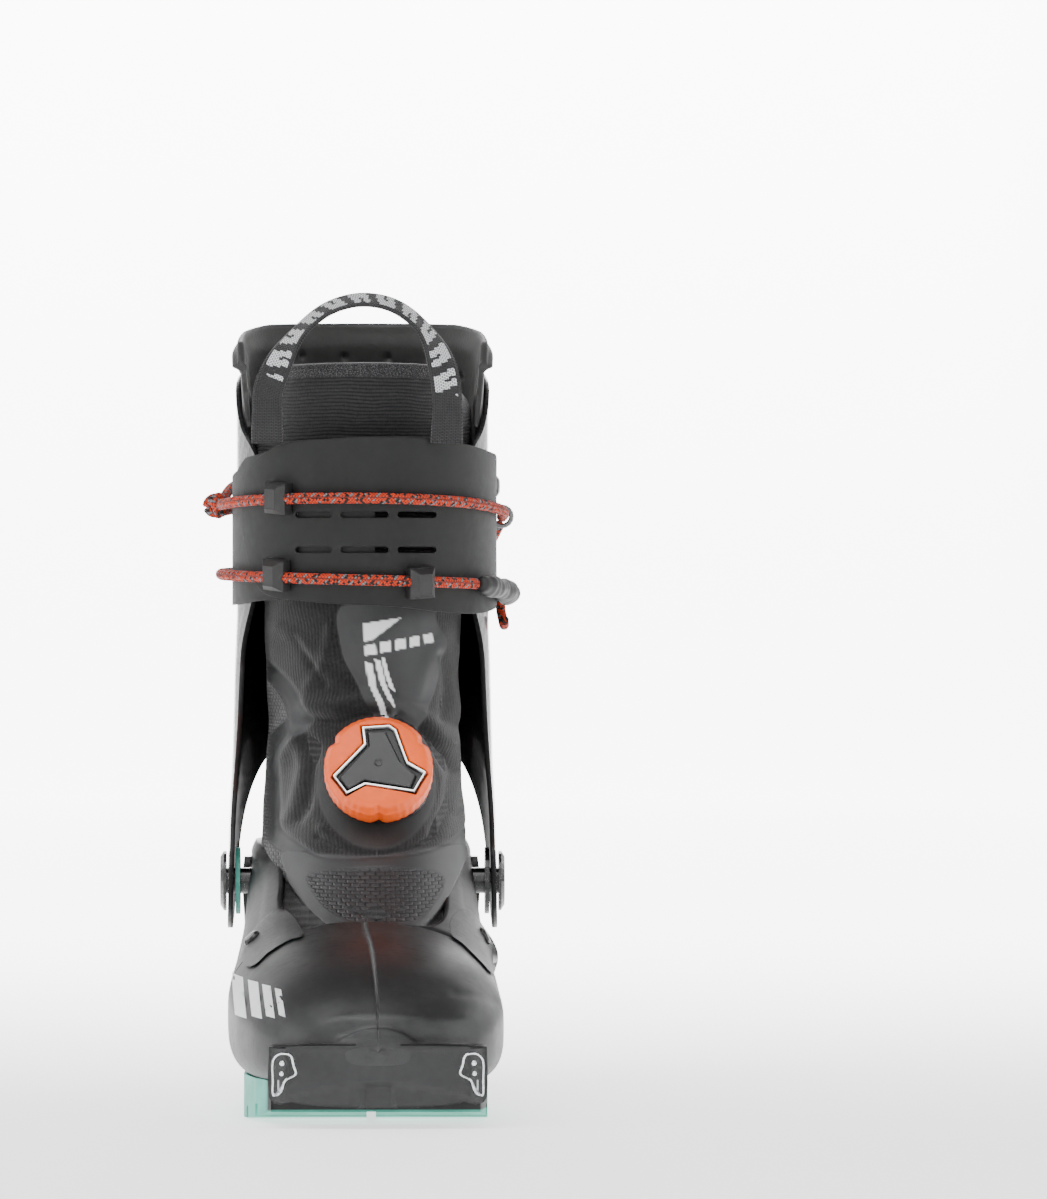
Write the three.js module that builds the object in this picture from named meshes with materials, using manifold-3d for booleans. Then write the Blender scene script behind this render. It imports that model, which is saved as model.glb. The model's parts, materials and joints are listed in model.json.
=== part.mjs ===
// Alpine touring boot (right foot): moulded lower shell, lugged soles with pin-binding fittings, soft liner and
// stretch gaiter, a dial-tightened lace, and a carbon cuff with a wrap-over front, a closure cord and a rear lever.
// Millimetres. +Z is up, the toe points to -Y and +X is the inner (medial) side of the foot.
// Everything is laid out with the ankle axis at y = 0. The last lines move the origin to the bottom centre.
import * as THREE from "three";
import { mergeVertices } from "three/addons/utils/BufferGeometryUtils.js";
import Module from "manifold-3d";

const wasm = await Module();
wasm.setup();

// ---------------------------------------------------------------- driving dimensions
const SOLE_LENGTH = 277; // binding sole length of a 25 cm foot
const HEEL_TO_PIVOT = 88;
const TOE_TO_PIVOT = SOLE_LENGTH - HEEL_TO_PIVOT;
const PIVOT_HEIGHT = 77;
const CUFF_TOP = 268; // carbon edge at the back
const FOREFOOT_HALF = 47;
const ANKLE_HALF = 41; // lower shell at the pivots
const CUFF_HALF = 43.6; // carbon cuff under the flaps
const GAP = 0.35; // clearance between touching pieces

const SHELL_WALL = 2.4;
const LINER_WALL = 4.5;
const GAITER_WALL = 1.4;
const CUFF_WALL = 1.8;
const FLAP_WALL = 1.2;
const SPOILER_PROUD = 10; // how far the soft collar stands above the carbon
const SPOILER_WALL = 3.2;

const TOE_FITTING_HALF = 36.5; // centre of the toe block to the outer face of a fitting
const TOE_CENTRE_X = 5.2;
const HEEL_CENTRE_X = -1.9;
const TOE_FITTING_Z = 19.5;

const DIAL_RADIUS = 19;
const DIAL_HEIGHT = 11;
const DIAL_X = 5.6;
const DIAL_Z = 116.5;
const DIAL_TILT = 25; // the dial's axis above horizontal, in degrees

const CORD_RADIUS = 1.9;
const LEVER_HALF = 4.6;
const LEVER_THICK = 3;
const HINGE_Z = 162;
const CATCH_Z = 74.5;
const LEVER_FACE_Y = 88.6; // front face of the lever, measured from the ankle axis

// ---------------------------------------------------------------- materials
const paint = (colour, roughness, metalness = 0) =>
  new THREE.MeshStandardMaterial({ color: colour, roughness, metalness });
const SHELL = paint(0x3b3c3e, 0.55);
const GLOSS_BLACK = paint(0x18181a, 0.25);
const CARBON = paint(0x1c1d1f, 0.2);
const FOAM = paint(0x4a4a49, 0.6);
const FLAP = paint(0x3a3b3c, 0.6);
const KNIT = paint(0x1d1d1f, 0.95);
const GAITER = paint(0x2b2c2d, 0.9);
const TEAL = paint(0x4fb8ab, 0.6);
const RUBBER = paint(0x3f3f40, 0.75);
const STEEL = paint(0xc4cbce, 0.25, 1);
const ALLOY = paint(0x5c5c62, 0.45, 0.8);
const ORANGE = paint(0xf0761a, 0.5);
const CORD = paint(0xc0552f, 0.8);

// ---------------------------------------------------------------- solids from meshes
function toSolid(geometry) {
  let g = geometry.clone();
  g.deleteAttribute("normal");
  g.deleteAttribute("uv");
  g = mergeVertices(g, 1e-3);
  const solid = new wasm.Manifold(
    new wasm.Mesh({
      numProp: 3,
      vertProperties: new Float32Array(g.attributes.position.array),
      triVerts: new Uint32Array(g.index.array),
    }),
  );
  return solid;
}

function toGeometry(solid) {
  const m = solid.getMesh();
  const g = new THREE.BufferGeometry();
  g.setAttribute("position", new THREE.BufferAttribute(new Float32Array(m.vertProperties), 3));
  g.setIndex(new THREE.BufferAttribute(new Uint32Array(m.triVerts), 1));
  g.computeVertexNormals();
  return g;
}

const FLATNESS = 0.05; // slivers flatter than this are merged after each cut
const tidy = (solid, flatness = FLATNESS) => toGeometry(solid.simplify(flatness));
const join = (first, ...rest) => tidy(rest.reduce((s, g) => s.add(toSolid(g)), toSolid(first)));
const cut = (first, ...rest) => tidy(rest.reduce((s, g) => s.subtract(toSolid(g)), toSolid(first)));
const common = (a, b) => tidy(toSolid(a).intersect(toSolid(b)));
const moved = (g, x, y, z) => g.clone().translate(x, y, z);

// A closed surface through rings of points, with flat ends.
function loft(rings) {
  const n = rings[0].length;
  const points = rings.flat();
  const index = [];
  const face = (a, b, c) => index.push(a, b, c);
  rings.slice(1).forEach((_, r) => {
    for (let i = 0; i < n; i++) {
      const [a, b] = [r * n + i, r * n + ((i + 1) % n)];
      face(a, b, b + n);
      face(a, b + n, a + n);
    }
  });
  [0, rings.length - 1].forEach((r) => {
    const centre = points.length;
    points.push(rings[r].reduce((s, p) => s.add(p), new THREE.Vector3()).divideScalar(n));
    for (let i = 0; i < n; i++) {
      const [a, b] = [r * n + i, r * n + ((i + 1) % n)];
      if (r === 0) face(b, a, centre);
      else face(a, b, centre);
    }
  });
  return facingOut(points, index);
}

// A thick sheet on a surface point(u, v, offset), between two offsets.
function sheet(point, nu, nv, low, high) {
  const points = [];
  for (const offset of [low, high])
    for (let i = 0; i <= nu; i++) for (let j = 0; j <= nv; j++) points.push(point(i / nu, j / nv, offset));
  const layer = (nu + 1) * (nv + 1);
  const at = (i, j, k) => k * layer + i * (nv + 1) + j;
  const index = [];
  const quad = (a, b, c, d) => index.push(a, b, c, a, c, d);
  for (let i = 0; i < nu; i++)
    for (let j = 0; j < nv; j++) {
      quad(at(i, j, 1), at(i + 1, j, 1), at(i + 1, j + 1, 1), at(i, j + 1, 1));
      quad(at(i, j, 0), at(i, j + 1, 0), at(i + 1, j + 1, 0), at(i + 1, j, 0));
    }
  for (let i = 0; i < nu; i++) {
    quad(at(i, 0, 0), at(i + 1, 0, 0), at(i + 1, 0, 1), at(i, 0, 1));
    quad(at(i, nv, 1), at(i + 1, nv, 1), at(i + 1, nv, 0), at(i, nv, 0));
  }
  for (let j = 0; j < nv; j++) {
    quad(at(0, j, 1), at(0, j + 1, 1), at(0, j + 1, 0), at(0, j, 0));
    quad(at(nu, j, 0), at(nu, j + 1, 0), at(nu, j + 1, 1), at(nu, j, 1));
  }
  return facingOut(points, index);
}

function facingOut(points, index) {
  let volume = 0;
  for (let i = 0; i < index.length; i += 3) {
    const [a, b, c] = [points[index[i]], points[index[i + 1]], points[index[i + 2]]];
    volume += a.dot(new THREE.Vector3().crossVectors(b, c));
  }
  const g = new THREE.BufferGeometry().setFromPoints(points);
  g.setIndex(volume > 0 ? index : index.reverse());
  return g;
}

// A smooth function through [place, value] stations, level beyond its ends.
function through(stations) {
  const slope = (i) => {
    if (i === 0 || i === stations.length - 1) return 0;
    const [[x0, y0], [x1, y1], [x2, y2]] = [stations[i - 1], stations[i], stations[i + 1]];
    const [before, after] = [(y1 - y0) / (x1 - x0), (y2 - y1) / (x2 - x1)];
    return before * after <= 0 ? 0 : (2 * before * after) / (before + after);
  };
  return (x) => {
    if (x <= stations[0][0]) return stations[0][1];
    const i = stations.findIndex((s) => s[0] >= x);
    if (i < 0) return stations[stations.length - 1][1];
    const [[x0, y0], [x1, y1]] = [stations[i - 1], stations[i]];
    const [w, t] = [x1 - x0, (x - x0) / (x1 - x0)];
    const [t2, t3] = [t * t, t * t * t];
    const ends = (2 * t3 - 3 * t2 + 1) * y0 + (3 * t2 - 2 * t3) * y1;
    return ends + (t3 - 2 * t2 + t) * w * slope(i - 1) + (t3 - t2) * w * slope(i);
  };
}

const V = (x, y, z) => new THREE.Vector3(x, y, z);
const rad = THREE.MathUtils.degToRad;
const lerp = THREE.MathUtils.lerp;
const power = (v, p) => Math.sign(v) * Math.abs(v) ** p;

// A flat outline of [a, b] points, extruded by a thickness, from z = 0 up.
function plate(outline, thickness, holes = []) {
  const shape = new THREE.Shape(outline.map(([a, b]) => new THREE.Vector2(a, b)));
  holes.forEach((hole) => shape.holes.push(hole));
  return new THREE.ExtrudeGeometry(shape, { depth: thickness, bevelEnabled: false, curveSegments: 6 });
}

// The same outline read as [y, z] points and extruded across the boot from x = low to x = high.
function sidePlate(outline, low, high) {
  const g = plate(outline, high - low);
  g.applyMatrix4(new THREE.Matrix4().set(0, 0, 1, low, 1, 0, 0, 0, 0, 1, 0, 0, 0, 0, 0, 1));
  return g;
}

const box = (x, y, z, cx, cy, cz) => new THREE.BoxGeometry(x, y, z).translate(cx, cy, cz);
const rod = (r, length, sides = 16) => new THREE.CylinderGeometry(r, r, length, sides);
const rodX = (r, length, x, y, z, sides = 16) => rod(r, length, sides).rotateZ(Math.PI / 2).translate(x, y, z);
const rodY = (r, length, x, y, z, sides = 16) => rod(r, length, sides).translate(x, y, z);

function tube(points, radius, sides = 8, steps = 2 * points.length) {
  const path = new THREE.CatmullRomCurve3(points, false, "centripetal");
  const circle = [...Array(sides).keys()].map((i) => {
    const a = (i / sides) * 2 * Math.PI;
    return new THREE.Vector2(radius * Math.cos(a), radius * Math.sin(a));
  });
  return new THREE.ExtrudeGeometry(new THREE.Shape(circle), { steps, extrudePath: path });
}

// A round-headed rivet or screw: head on z = 0 upwards, shank below.
function rivet(headRadius, headHeight, shankRadius, shankLength) {
  const points = [
    [0, -shankLength],
    [shankRadius, -shankLength],
    [shankRadius, 0],
    [headRadius, 0],
    [headRadius, headHeight * 0.45],
    [headRadius * 0.78, headHeight * 0.85],
    [headRadius * 0.35, headHeight],
    [0, headHeight],
  ].map(([r, z]) => new THREE.Vector2(r, z));
  return new THREE.LatheGeometry(points, 14).rotateX(Math.PI / 2);
}

// ---------------------------------------------------------------- the boot's body surfaces
const alongFoot = (share) => share * (share < 0 ? TOE_TO_PIVOT : HEEL_TO_PIVOT);
const upCuff = (share) => PIVOT_HEIGHT + share * (CUFF_TOP - PIVOT_HEIGHT);
const cuffShare = (z) => (z - PIVOT_HEIGHT) / (CUFF_TOP - PIVOT_HEIGHT);
const overFoot = (table, scale = 1) => through(table.map(([s, v]) => [alongFoot(s), v * scale]));
const overLeg = (table) => through(table.map(([s, v]) => [upCuff(s), v]));

// Lower shell, in sections across the foot: half width, middle, top and bottom at each share of the length.
const footHalf = overFoot([
  ...[[-0.985, 0.32], [-0.965, 0.52], [-0.92, 0.73], [-0.84, 0.89], [-0.74, 0.975], [-0.62, 1], [-0.45, 0.955]]
    .map(([s, half]) => [s, half * FOREFOOT_HALF]),
  ...[[-0.22, 1.015], [0, 1], [0.3, 0.986], [0.55, 0.906], [0.75, 0.757], [0.86, 0.585], [0.905, 0.413], [0.925, 0.229]]
    .map(([s, half]) => [s, half * ANKLE_HALF]),
]);
const footMiddle = overFoot([
  [-1, TOE_CENTRE_X], [-0.8, 3.4], [-0.6, 0.5], [-0.2, 0], [0.5, -0.8], [1, HEEL_CENTRE_X],
]);
const footTop = overFoot([
  [-0.985, 34], [-0.965, 39], [-0.92, 46], [-0.84, 54.5], [-0.74, 61], [-0.62, 66], [-0.5, 74], [-0.3, 88],
  [-0.1, 100], [0.3, 108], [0.86, 108], [0.925, 98],
]);
const footBottom = overFoot([
  [-0.985, 18], [-0.94, 13.5], [-0.8, 9.5], [-0.6, 8.5], [-0.3, 12.5], [0, 14.5], [0.3, 14], [0.925, 14],
]);
const SECTION_SIDES = 28;
const DOME = 0.86; // below 1 the upper half of a section is squarer than an ellipse
const floorPower = overFoot([[-0.6, 0.5], [-0.1, 0.7], [0.4, 1]]); // boxy under the forefoot, round under the heel
const sidePower = overFoot([[-0.6, 0.75], [-0.1, 0.85], [0.4, 1]]);
const widestShare = overFoot([[-1, 0.46], [-0.62, 0.5], [-0.36, 0.52], [0, 0.64], [0.4, 0.68]]); // height of the widest line

function footSection(y, grow) {
  const half = Math.max(2, footHalf(y) + grow);
  const [low, high] = [footBottom(y) - grow, footTop(y) + grow];
  const widest = lerp(low, high, widestShare(y));
  return [...Array(SECTION_SIDES).keys()].map((i) => {
    const a = (i / SECTION_SIDES) * 2 * Math.PI;
    const upper = Math.sin(a) >= 0;
    const squareness = upper ? DOME : floorPower(y);
    const z = widest + power(Math.sin(a), squareness) * (upper ? high - widest : widest - low);
    return V(footMiddle(y) + power(Math.cos(a), upper ? 0.95 : sidePower(y)) * half, y, z);
  });
}

const FOOT_STATIONS = [
  -0.985, -0.965, -0.92, -0.84, -0.74, -0.62, -0.5, -0.36, -0.22, 0, 0.3, 0.55, 0.75, 0.86, 0.905, 0.925,
];
function footSolid(grow) {
  const [toe, heel] = [FOOT_STATIONS[0], FOOT_STATIONS.at(-1)];
  return loft(
    FOOT_STATIONS.map((s) => {
      // towards the ends, a section moves along the foot as far as the walls move out
      const share = Math.max(0, (Math.abs(s) - 0.5) / (Math.abs(s < 0 ? toe : heel) - 0.5));
      const ring = footSection(alongFoot(s), grow);
      ring.forEach((p) => (p.y += Math.sign(s) * share * grow));
      return ring;
    }),
  );
}

// Leg, ankle and instep, in level sections: front, back, half width and middle at each share of the cuff's height.
const legFront = overLeg([
  [-0.09, -138], [-0.06, -116], [-0.01, -100], [0.068, -83], [0.147, -70], [0.215, -61], [0.304, -53.5], [0.382, -50.5],
  [0.46, -50.5], [0.67, -56], [0.827, -60], [1.09, -65],
]);
const legBack = overLeg([[-0.09, 72], [0.068, 75.5], [0.28, 75.5], [0.382, 74], [0.518, 70], [0.67, 65], [0.827, 59], [1.09, 49]]);
const legHalf = overLeg([
  [-0.09, 39], [0, 38.5], [0.147, 36.5], [0.3, 35], [0.4, 35.5], [0.52, 37], [0.67, 39.8], [1.09, 42],
]);
const legMiddle = overLeg([[-0.09, 0], [0.3, 6], [0.6, 9], [1.09, 4]]);
const legShift = overLeg([[-0.09, 5], [0.2, 4], [0.5, 0.5], [0.7, 0]]);

// turn is 0 at the back, +90 degrees at the medial side and 180 at the front.
function legPoint(turn, z, offset, fullness = 0.93) {
  const [s, c] = [power(Math.sin(turn), fullness), power(Math.cos(turn), fullness)];
  const middle = legMiddle(z);
  const reach = c >= 0 ? legBack(z) - middle : middle - legFront(z);
  return V(legShift(z) * Math.max(0, -c) + (legHalf(z) + offset) * s, middle + (reach + offset) * c, z);
}

const cuffHalf = overLeg([
  [-0.1, 46.6], [0.1, 46.2], [0.25, 45], [0.42, 44.2], [0.52, CUFF_HALF], [0.85, CUFF_HALF], [1, 44.6], [1.1, 46],
]);
function cuffPoint(turn, z, offset, fullness = 0.9) {
  const [s, c] = [power(Math.sin(turn), fullness), power(Math.cos(turn), fullness)];
  const middle = legMiddle(z);
  const reach = c >= 0 ? legBack(z) - middle + CUFF_WALL + GAP + 1.2 : middle - legFront(z) + 1.2;
  return V((cuffHalf(z) + offset) * s, middle + (reach + offset) * c, z);
}

// The turn at which the cuff's surface, grown by an offset, reaches across to x: on its back, or on its front.
function turnAt(x, z, front, offset, fullness = 0.9) {
  const a = Math.asin(Math.min(1, Math.abs(x / (cuffHalf(z) + offset)) ** (1 / fullness))) * Math.sign(x);
  return front ? Math.PI - a : a;
}

// A group standing on the cuff: its own +Z points out of the surface and its +Y up it.
function onCuff(turn, z, offset) {
  const at = cuffPoint(turn, z, offset);
  const step = 0.02;
  const across = cuffPoint(turn + step, z, offset).sub(cuffPoint(turn - step, z, offset));
  const up = cuffPoint(turn, z + 1, offset).sub(cuffPoint(turn, z - 1, offset)).normalize();
  const out = new THREE.Vector3().crossVectors(across, up).normalize();
  if (out.dot(V(at.x, at.y - legMiddle(z), 0)) < 0) out.negate();
  const side = new THREE.Vector3().crossVectors(up, out).normalize();
  const stand = new THREE.Group();
  stand.matrix.makeBasis(side, new THREE.Vector3().crossVectors(out, side), out).setPosition(at);
  stand.matrix.decompose(stand.position, stand.quaternion, stand.scale);
  return stand;
}

const boot = new THREE.Group();
function add(name, geometry, material, parent = boot) {
  const mesh = new THREE.Mesh(geometry, material);
  mesh.name = name;
  parent.add(mesh);
  return mesh;
}

// ---------------------------------------------------------------- lower shell
// Side view of the collar: the shell keeps what is below this line.
const COLLAR = [
  [0.93, 99], [0.84, 96], [0.6, 91], [0.25, 91], [-0.06, 91], [-0.2, 88], [-0.36, 82], [-0.5, 73.5], [-0.585, 67],
].map(([s, z]) => [alongFoot(s), z]);
function aboveCollar(lift) {
  const front = COLLAR[COLLAR.length - 1];
  return sidePlate([[150, 250], [150, COLLAR[0][1] + lift], ...COLLAR.map(([y, z]) => [y, z + lift]), [front[0], 250]], -90, 90);
}
const shellSolid = footSolid(0);
const shellInside = footSolid(-SHELL_WALL);
const PIVOT_HOLE = 5;
const pivotHoles = rodX(PIVOT_HOLE, 200, 0, 0, PIVOT_HEIGHT);
const lowerShell = cut(shellSolid, shellInside, aboveCollar(0), pivotHoles);

// ---------------------------------------------------------------- toe block and fittings
const TOE_BLOCK_TOP = 29;
const TOE_BLOCK_BACK = -TOE_TO_PIVOT + 30;
const toeBlockOutline = [
  [TOE_FITTING_HALF - 0.6, TOE_BLOCK_BACK],
  [TOE_FITTING_HALF - 0.6, -TOE_TO_PIVOT + 9],
  [TOE_FITTING_HALF - 4, -TOE_TO_PIVOT + 3.4],
  [TOE_FITTING_HALF * 0.5, -TOE_TO_PIVOT + 0.9],
  [0, -TOE_TO_PIVOT],
];
const mirrored = (outline) => [...outline, ...outline.slice(0, -1).reverse().map(([x, y]) => [-x, y])];
const FITTING = { y: -TOE_TO_PIVOT + 7.2, depth: 9.5, width: 7.4, height: 13 };
const fittingBox = (side, grow) =>
  box(FITTING.width + 2 * grow, FITTING.depth + 2 * grow, FITTING.height + 2 * grow,
    TOE_CENTRE_X + side * (TOE_FITTING_HALF - FITTING.width / 2 + grow), FITTING.y, TOE_FITTING_Z);
// Underside of the block rises to the toe, so that the boot can roll.
const toeUnderside = sidePlate(
  [[-TOE_TO_PIVOT - 5, 0], [TOE_BLOCK_BACK + 5, 0], [TOE_BLOCK_BACK + 5, 8.2], [-TOE_TO_PIVOT - 5, 11.5]], -90, 90);
const toeBlock = cut(
  plate(mirrored(toeBlockOutline), TOE_BLOCK_TOP).translate(TOE_CENTRE_X, 0, 0),
  footSolid(GAP), toeUnderside, fittingBox(1, GAP), fittingBox(-1, GAP));

// A fitting with the cone that a binding's pin seats in, opening outwards.
function toeFitting(side) {
  const cone = new THREE.CylinderGeometry(0.6, 3.1, 3.4, 14).rotateZ((-side * Math.PI) / 2);
  cone.translate(TOE_CENTRE_X + side * (TOE_FITTING_HALF - 1.6), FITTING.y, TOE_FITTING_Z + 1.2);
  return cut(fittingBox(side, 0), cone, footSolid(GAP));
}

// ---------------------------------------------------------------- soles
const SOLE_TREAD = 4.2; // depth of the lugs
const groundLine = overFoot([[-1, 9.6], [-0.9, 6.2], [-0.75, 1.4], [-0.66, 0], [1, 0]]);
const FOREFOOT_SOLE = [-0.93, -0.22];
const HEEL_SOLE = [0.2, 1];

function solePlan(from, to, inset, steps = 14) {
  const at = [...Array(steps + 1).keys()].map((i) => lerp(alongFoot(from), alongFoot(to), i / steps));
  const reach = (y) => Math.max(6, footHalf(y) - inset);
  return [...at.map((y) => [footMiddle(y) + reach(y), y]), ...at.reverse().map((y) => [footMiddle(y) - reach(y), y])];
}
// Side profile that follows the rolling ground line, from there up to the shell's floor.
function soleSide(from, to, top, steps = 10) {
  const at = [...Array(steps + 1).keys()].map((i) => lerp(alongFoot(from) - 2, alongFoot(to) + 2, i / steps));
  return sidePlate([...at.map((y) => [y, groundLine(y)]), [at[steps], top], [at[0], top]], -90, 90);
}
const grooves = (from, to, count, width, depthLine) =>
  [...Array(count).keys()].map((i) => {
    const y = lerp(alongFoot(from), alongFoot(to), (i + 0.5) / count);
    const bottom = groundLine(y) - 1;
    return box(200, width, depthLine + 1, 0, y, bottom + (depthLine + 1) / 2);
  });

const forefootSole = cut(
  common(plate(solePlan(...FOREFOOT_SOLE, 5.5), 40), soleSide(...FOREFOOT_SOLE, 15)),
  footSolid(GAP), moved(plate(mirrored(toeBlockOutline.map(([x, y]) => [x + GAP, y + GAP])), 40), TOE_CENTRE_X, 0, 0),
  ...grooves(-0.82, -0.3, 6, 3.2, SOLE_TREAD),
  box(3.2, 120, SOLE_TREAD + 1, 3, alongFoot(-0.6), (SOLE_TREAD + 1) / 2 - 1));

const HEEL_BLOCK_HALF = 28.6;
const HEEL_LEDGE = 30.5;
const HEEL_RUBBER_TOP = 13.5;
const heelOutline = [
  [HEEL_BLOCK_HALF - 3, alongFoot(HEEL_SOLE[0])],
  [HEEL_BLOCK_HALF, alongFoot(0.55)],
  [HEEL_BLOCK_HALF, HEEL_TO_PIVOT - 13],
  [HEEL_BLOCK_HALF - 5, HEEL_TO_PIVOT - 4.5],
  [HEEL_BLOCK_HALF - 14, HEEL_TO_PIVOT - 0.8],
  [0, HEEL_TO_PIVOT],
];
const heelPlan = (height) => plate(mirrored(heelOutline), height).translate(HEEL_CENTRE_X, 0, 0);
const HEEL_FITTING = { half: 13.2, thick: 3, top: 24.5, bottom: 6.5, face: HEEL_TO_PIVOT - 0.4 };
const HEEL_SCREW_Z = 14.7;
const HEEL_SCREW_HOLE = 2.3;
const heelScrewHole = rodY(HEEL_SCREW_HOLE, 30, HEEL_CENTRE_X, HEEL_TO_PIVOT - 8, HEEL_SCREW_Z);
const fittingRecess = box(2 * HEEL_FITTING.half + 2 * GAP, 8, HEEL_FITTING.top - HEEL_FITTING.bottom + 2 * GAP,
  HEEL_CENTRE_X, HEEL_FITTING.face - HEEL_FITTING.thick - GAP + 4, (HEEL_FITTING.top + HEEL_FITTING.bottom) / 2);
const heelSole = cut(
  heelPlan(HEEL_RUBBER_TOP),
  fittingRecess, heelScrewHole,
  ...grooves(0.24, 0.92, 4, 3.2, SOLE_TREAD),
  ...[-9, 9].map((x) => box(3.4, 20, SOLE_TREAD + 1, HEEL_CENTRE_X + x, HEEL_TO_PIVOT - 4, (SOLE_TREAD + 1) / 2 - 1)));

// ---------------------------------------------------------------- heel frame: ledge, reinforcing ribs and catch ears
const FRAME_THICK = 2.2;
const WINDOW = { x: 24.5, z: 55, half: 13, tall: 21.5 };
const EAR = { in: 7.6, out: 12.8, low: 72, high: 86, y: 87.5 };
const frameBand = cut(
  footSolid(FRAME_THICK + GAP),
  footSolid(GAP),
  aboveCollar(-6),
  box(300, 300, 60, 0, 0, HEEL_RUBBER_TOP + GAP - 30), // nothing below the rubber
  sidePlate([[-300, -10], [alongFoot(0.16), -10], [alongFoot(0.3), 40], [18, 62], [18, 300], [-300, 300]], -90, 90),
  // two oval windows on the back of the heel
  ...[-1, 1].map((side) =>
    rod(1, 60, 24).scale(WINDOW.half, 1, WINDOW.tall).translate(HEEL_CENTRE_X + side * WINDOW.x, 82, WINDOW.z)),
);
const heelLedge = cut(
  moved(heelPlan(HEEL_LEDGE - HEEL_RUBBER_TOP - GAP), 0, -0.6, HEEL_RUBBER_TOP + GAP),
  footSolid(GAP));
const ears = [-1, 1].map((side) =>
  cut(
    sidePlate([[70, EAR.low], [EAR.y - 1.5, EAR.low], [EAR.y, EAR.low + 3], [EAR.y, EAR.high - 5], [EAR.y - 6, EAR.high], [70, EAR.high]],
      Math.min(side * EAR.in, side * EAR.out), Math.max(side * EAR.in, side * EAR.out)),
    footSolid(GAP)));
const CATCH_PIN = { radius: 1.7, y: 84.6 };
const catchPlateBox = box(12.6, 12, 31, 0, 80.5 + 6, 58.5);
const heelFrame = cut(
  join(frameBand, heelLedge, ...ears),
  fittingRecess,
  rodX(CATCH_PIN.radius + GAP, 40, 0, CATCH_PIN.y, CATCH_Z, 12),
  catchPlateBox,
  heelScrewHole,
  pivotHoles);


add("lower_shell", lowerShell, SHELL);
add("heel_frame", heelFrame, GLOSS_BLACK);
add("toe_block", toeBlock, SHELL);
add("toe_fitting_lateral", toeFitting(-1), STEEL);
add("toe_fitting_medial", toeFitting(1), STEEL);
add("outsole_forefoot", forefootSole, TEAL);
add("outsole_heel", heelSole, RUBBER);

const fittingOutline = [
  [-HEEL_FITTING.half, HEEL_FITTING.top],
  [-HEEL_FITTING.half, HEEL_FITTING.top - 3.4],
  [-7.5, HEEL_FITTING.top - 3.6],
  [-6.6, HEEL_FITTING.top - 7],
  [-10.3, HEEL_FITTING.top - 9.5],
  [-6.8, HEEL_FITTING.bottom],
];
const upright = (g, back) => g.rotateX(Math.PI / 2).translate(0, back, 0); // outline z runs up, extrusion to -Y
const HEEL_HEAD = 4;
add("heel_fitting", cut(
  upright(plate([...fittingOutline, ...fittingOutline.slice().reverse().map(([x, z]) => [-x, z])], HEEL_FITTING.thick),
    HEEL_FITTING.face).translate(HEEL_CENTRE_X, 0, 0),
  rodY(HEEL_HEAD + GAP, 30, HEEL_CENTRE_X, HEEL_TO_PIVOT, HEEL_SCREW_Z, 20)), STEEL);
// A cross-recess screw pointing along +Y, with its head's face at y.
function screwY(head, shank, length, thick, x, y, z) {
  const body = join(rodY(head, thick, x, y - thick / 2, z, 20), rodY(shank, length, x, y - thick - length / 2 + 0.1, z, 12));
  const arm = head * 1.15;
  return cut(body, box(arm, 1.6, head * 0.26, x, y, z), box(head * 0.26, 1.6, arm, x, y, z));
}
add("heel_fitting_screw", screwY(HEEL_HEAD, HEEL_SCREW_HOLE - GAP, 2.6, 2.4, HEEL_CENTRE_X, HEEL_FITTING.face - 0.2, HEEL_SCREW_Z), STEEL);

// ---------------------------------------------------------------- catch for the lever, on the heel
const catchPlate = cut(
  upright(plate([[-6, 70], [-6, 55], [-3.9, 45], [3.9, 45], [6, 55], [6, 70], [6, 73.6], [-6, 73.6]], 2.6), 84.4),
  rodY(3.8, 30, 0, 84.4, 51, 20), footSolid(GAP), rodX(CATCH_PIN.radius + GAP, 40, 0, CATCH_PIN.y, CATCH_Z, 12));
add("catch_plate", catchPlate, ALLOY);
add("catch_screw", cut(screwY(3.4, 1.6, 1, 1.8, 0, 84, 51), footSolid(GAP)), STEEL);
add("catch_pin", rodX(CATCH_PIN.radius, 2 * EAR.out + 1.4, 0, CATCH_PIN.y, CATCH_Z, 12), STEEL);

// ---------------------------------------------------------------- soft parts
const LEG_STATIONS = [-0.09, -0.06, -0.01, 0.068, 0.147, 0.215, 0.304, 0.382, 0.46, 0.56, 0.67, 0.827, 0.96];
function legSolid(offset, low = LEG_STATIONS[0], high = LEG_STATIONS.at(-1), sides = 28) {
  const levels = [low, ...LEG_STATIONS.filter((s) => s > low + 0.02 && s < high - 0.02), high];
  return loft(levels.map((s) => [...Array(sides).keys()].map((i) => legPoint((i / sides) * 2 * Math.PI, upCuff(s), offset))));
}
const LINER_OUT = -GAITER_WALL - 2 * GAP;
const LINER_IN = LINER_OUT - LINER_WALL;
const SWING = 80; // radius about the ankle where the liner's foot and shaft meet
const RIM_SWEEP = rad(37); // the shaft's back edge stays above this, so that it clears the shell's rim
const swingRod = (r) => rodX(r, 300, 0, 0, PIVOT_HEIGHT, 48);
const above = (z) => box(600, 600, 300, 0, 0, z + 150);
const outsideShell = cut(footSolid(GAP), footSolid(-SHELL_WALL - GAP), aboveCollar(GAP));
function largest(g, flatness = FLATNESS) {
  const bodies = toSolid(g).simplify(flatness).decompose();
  return toGeometry(bodies.reduce((a, b) => (b.volume() > a.volume() ? b : a)));
}
const LINER_FLATNESS = 0.2; // a hidden soft surface has coarser facets, and so a wider gap
const LINER_GAP = 3 * GAP;
const footLinerOuter = cut(join(footSolid(-SHELL_WALL - LINER_GAP), legSolid(LINER_OUT, -0.09, 0.5)),
  outsideShell, cut(above(97), swingRod(SWING)));
const legHollow = legSolid(LINER_IN, -0.09, 0.5);
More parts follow.
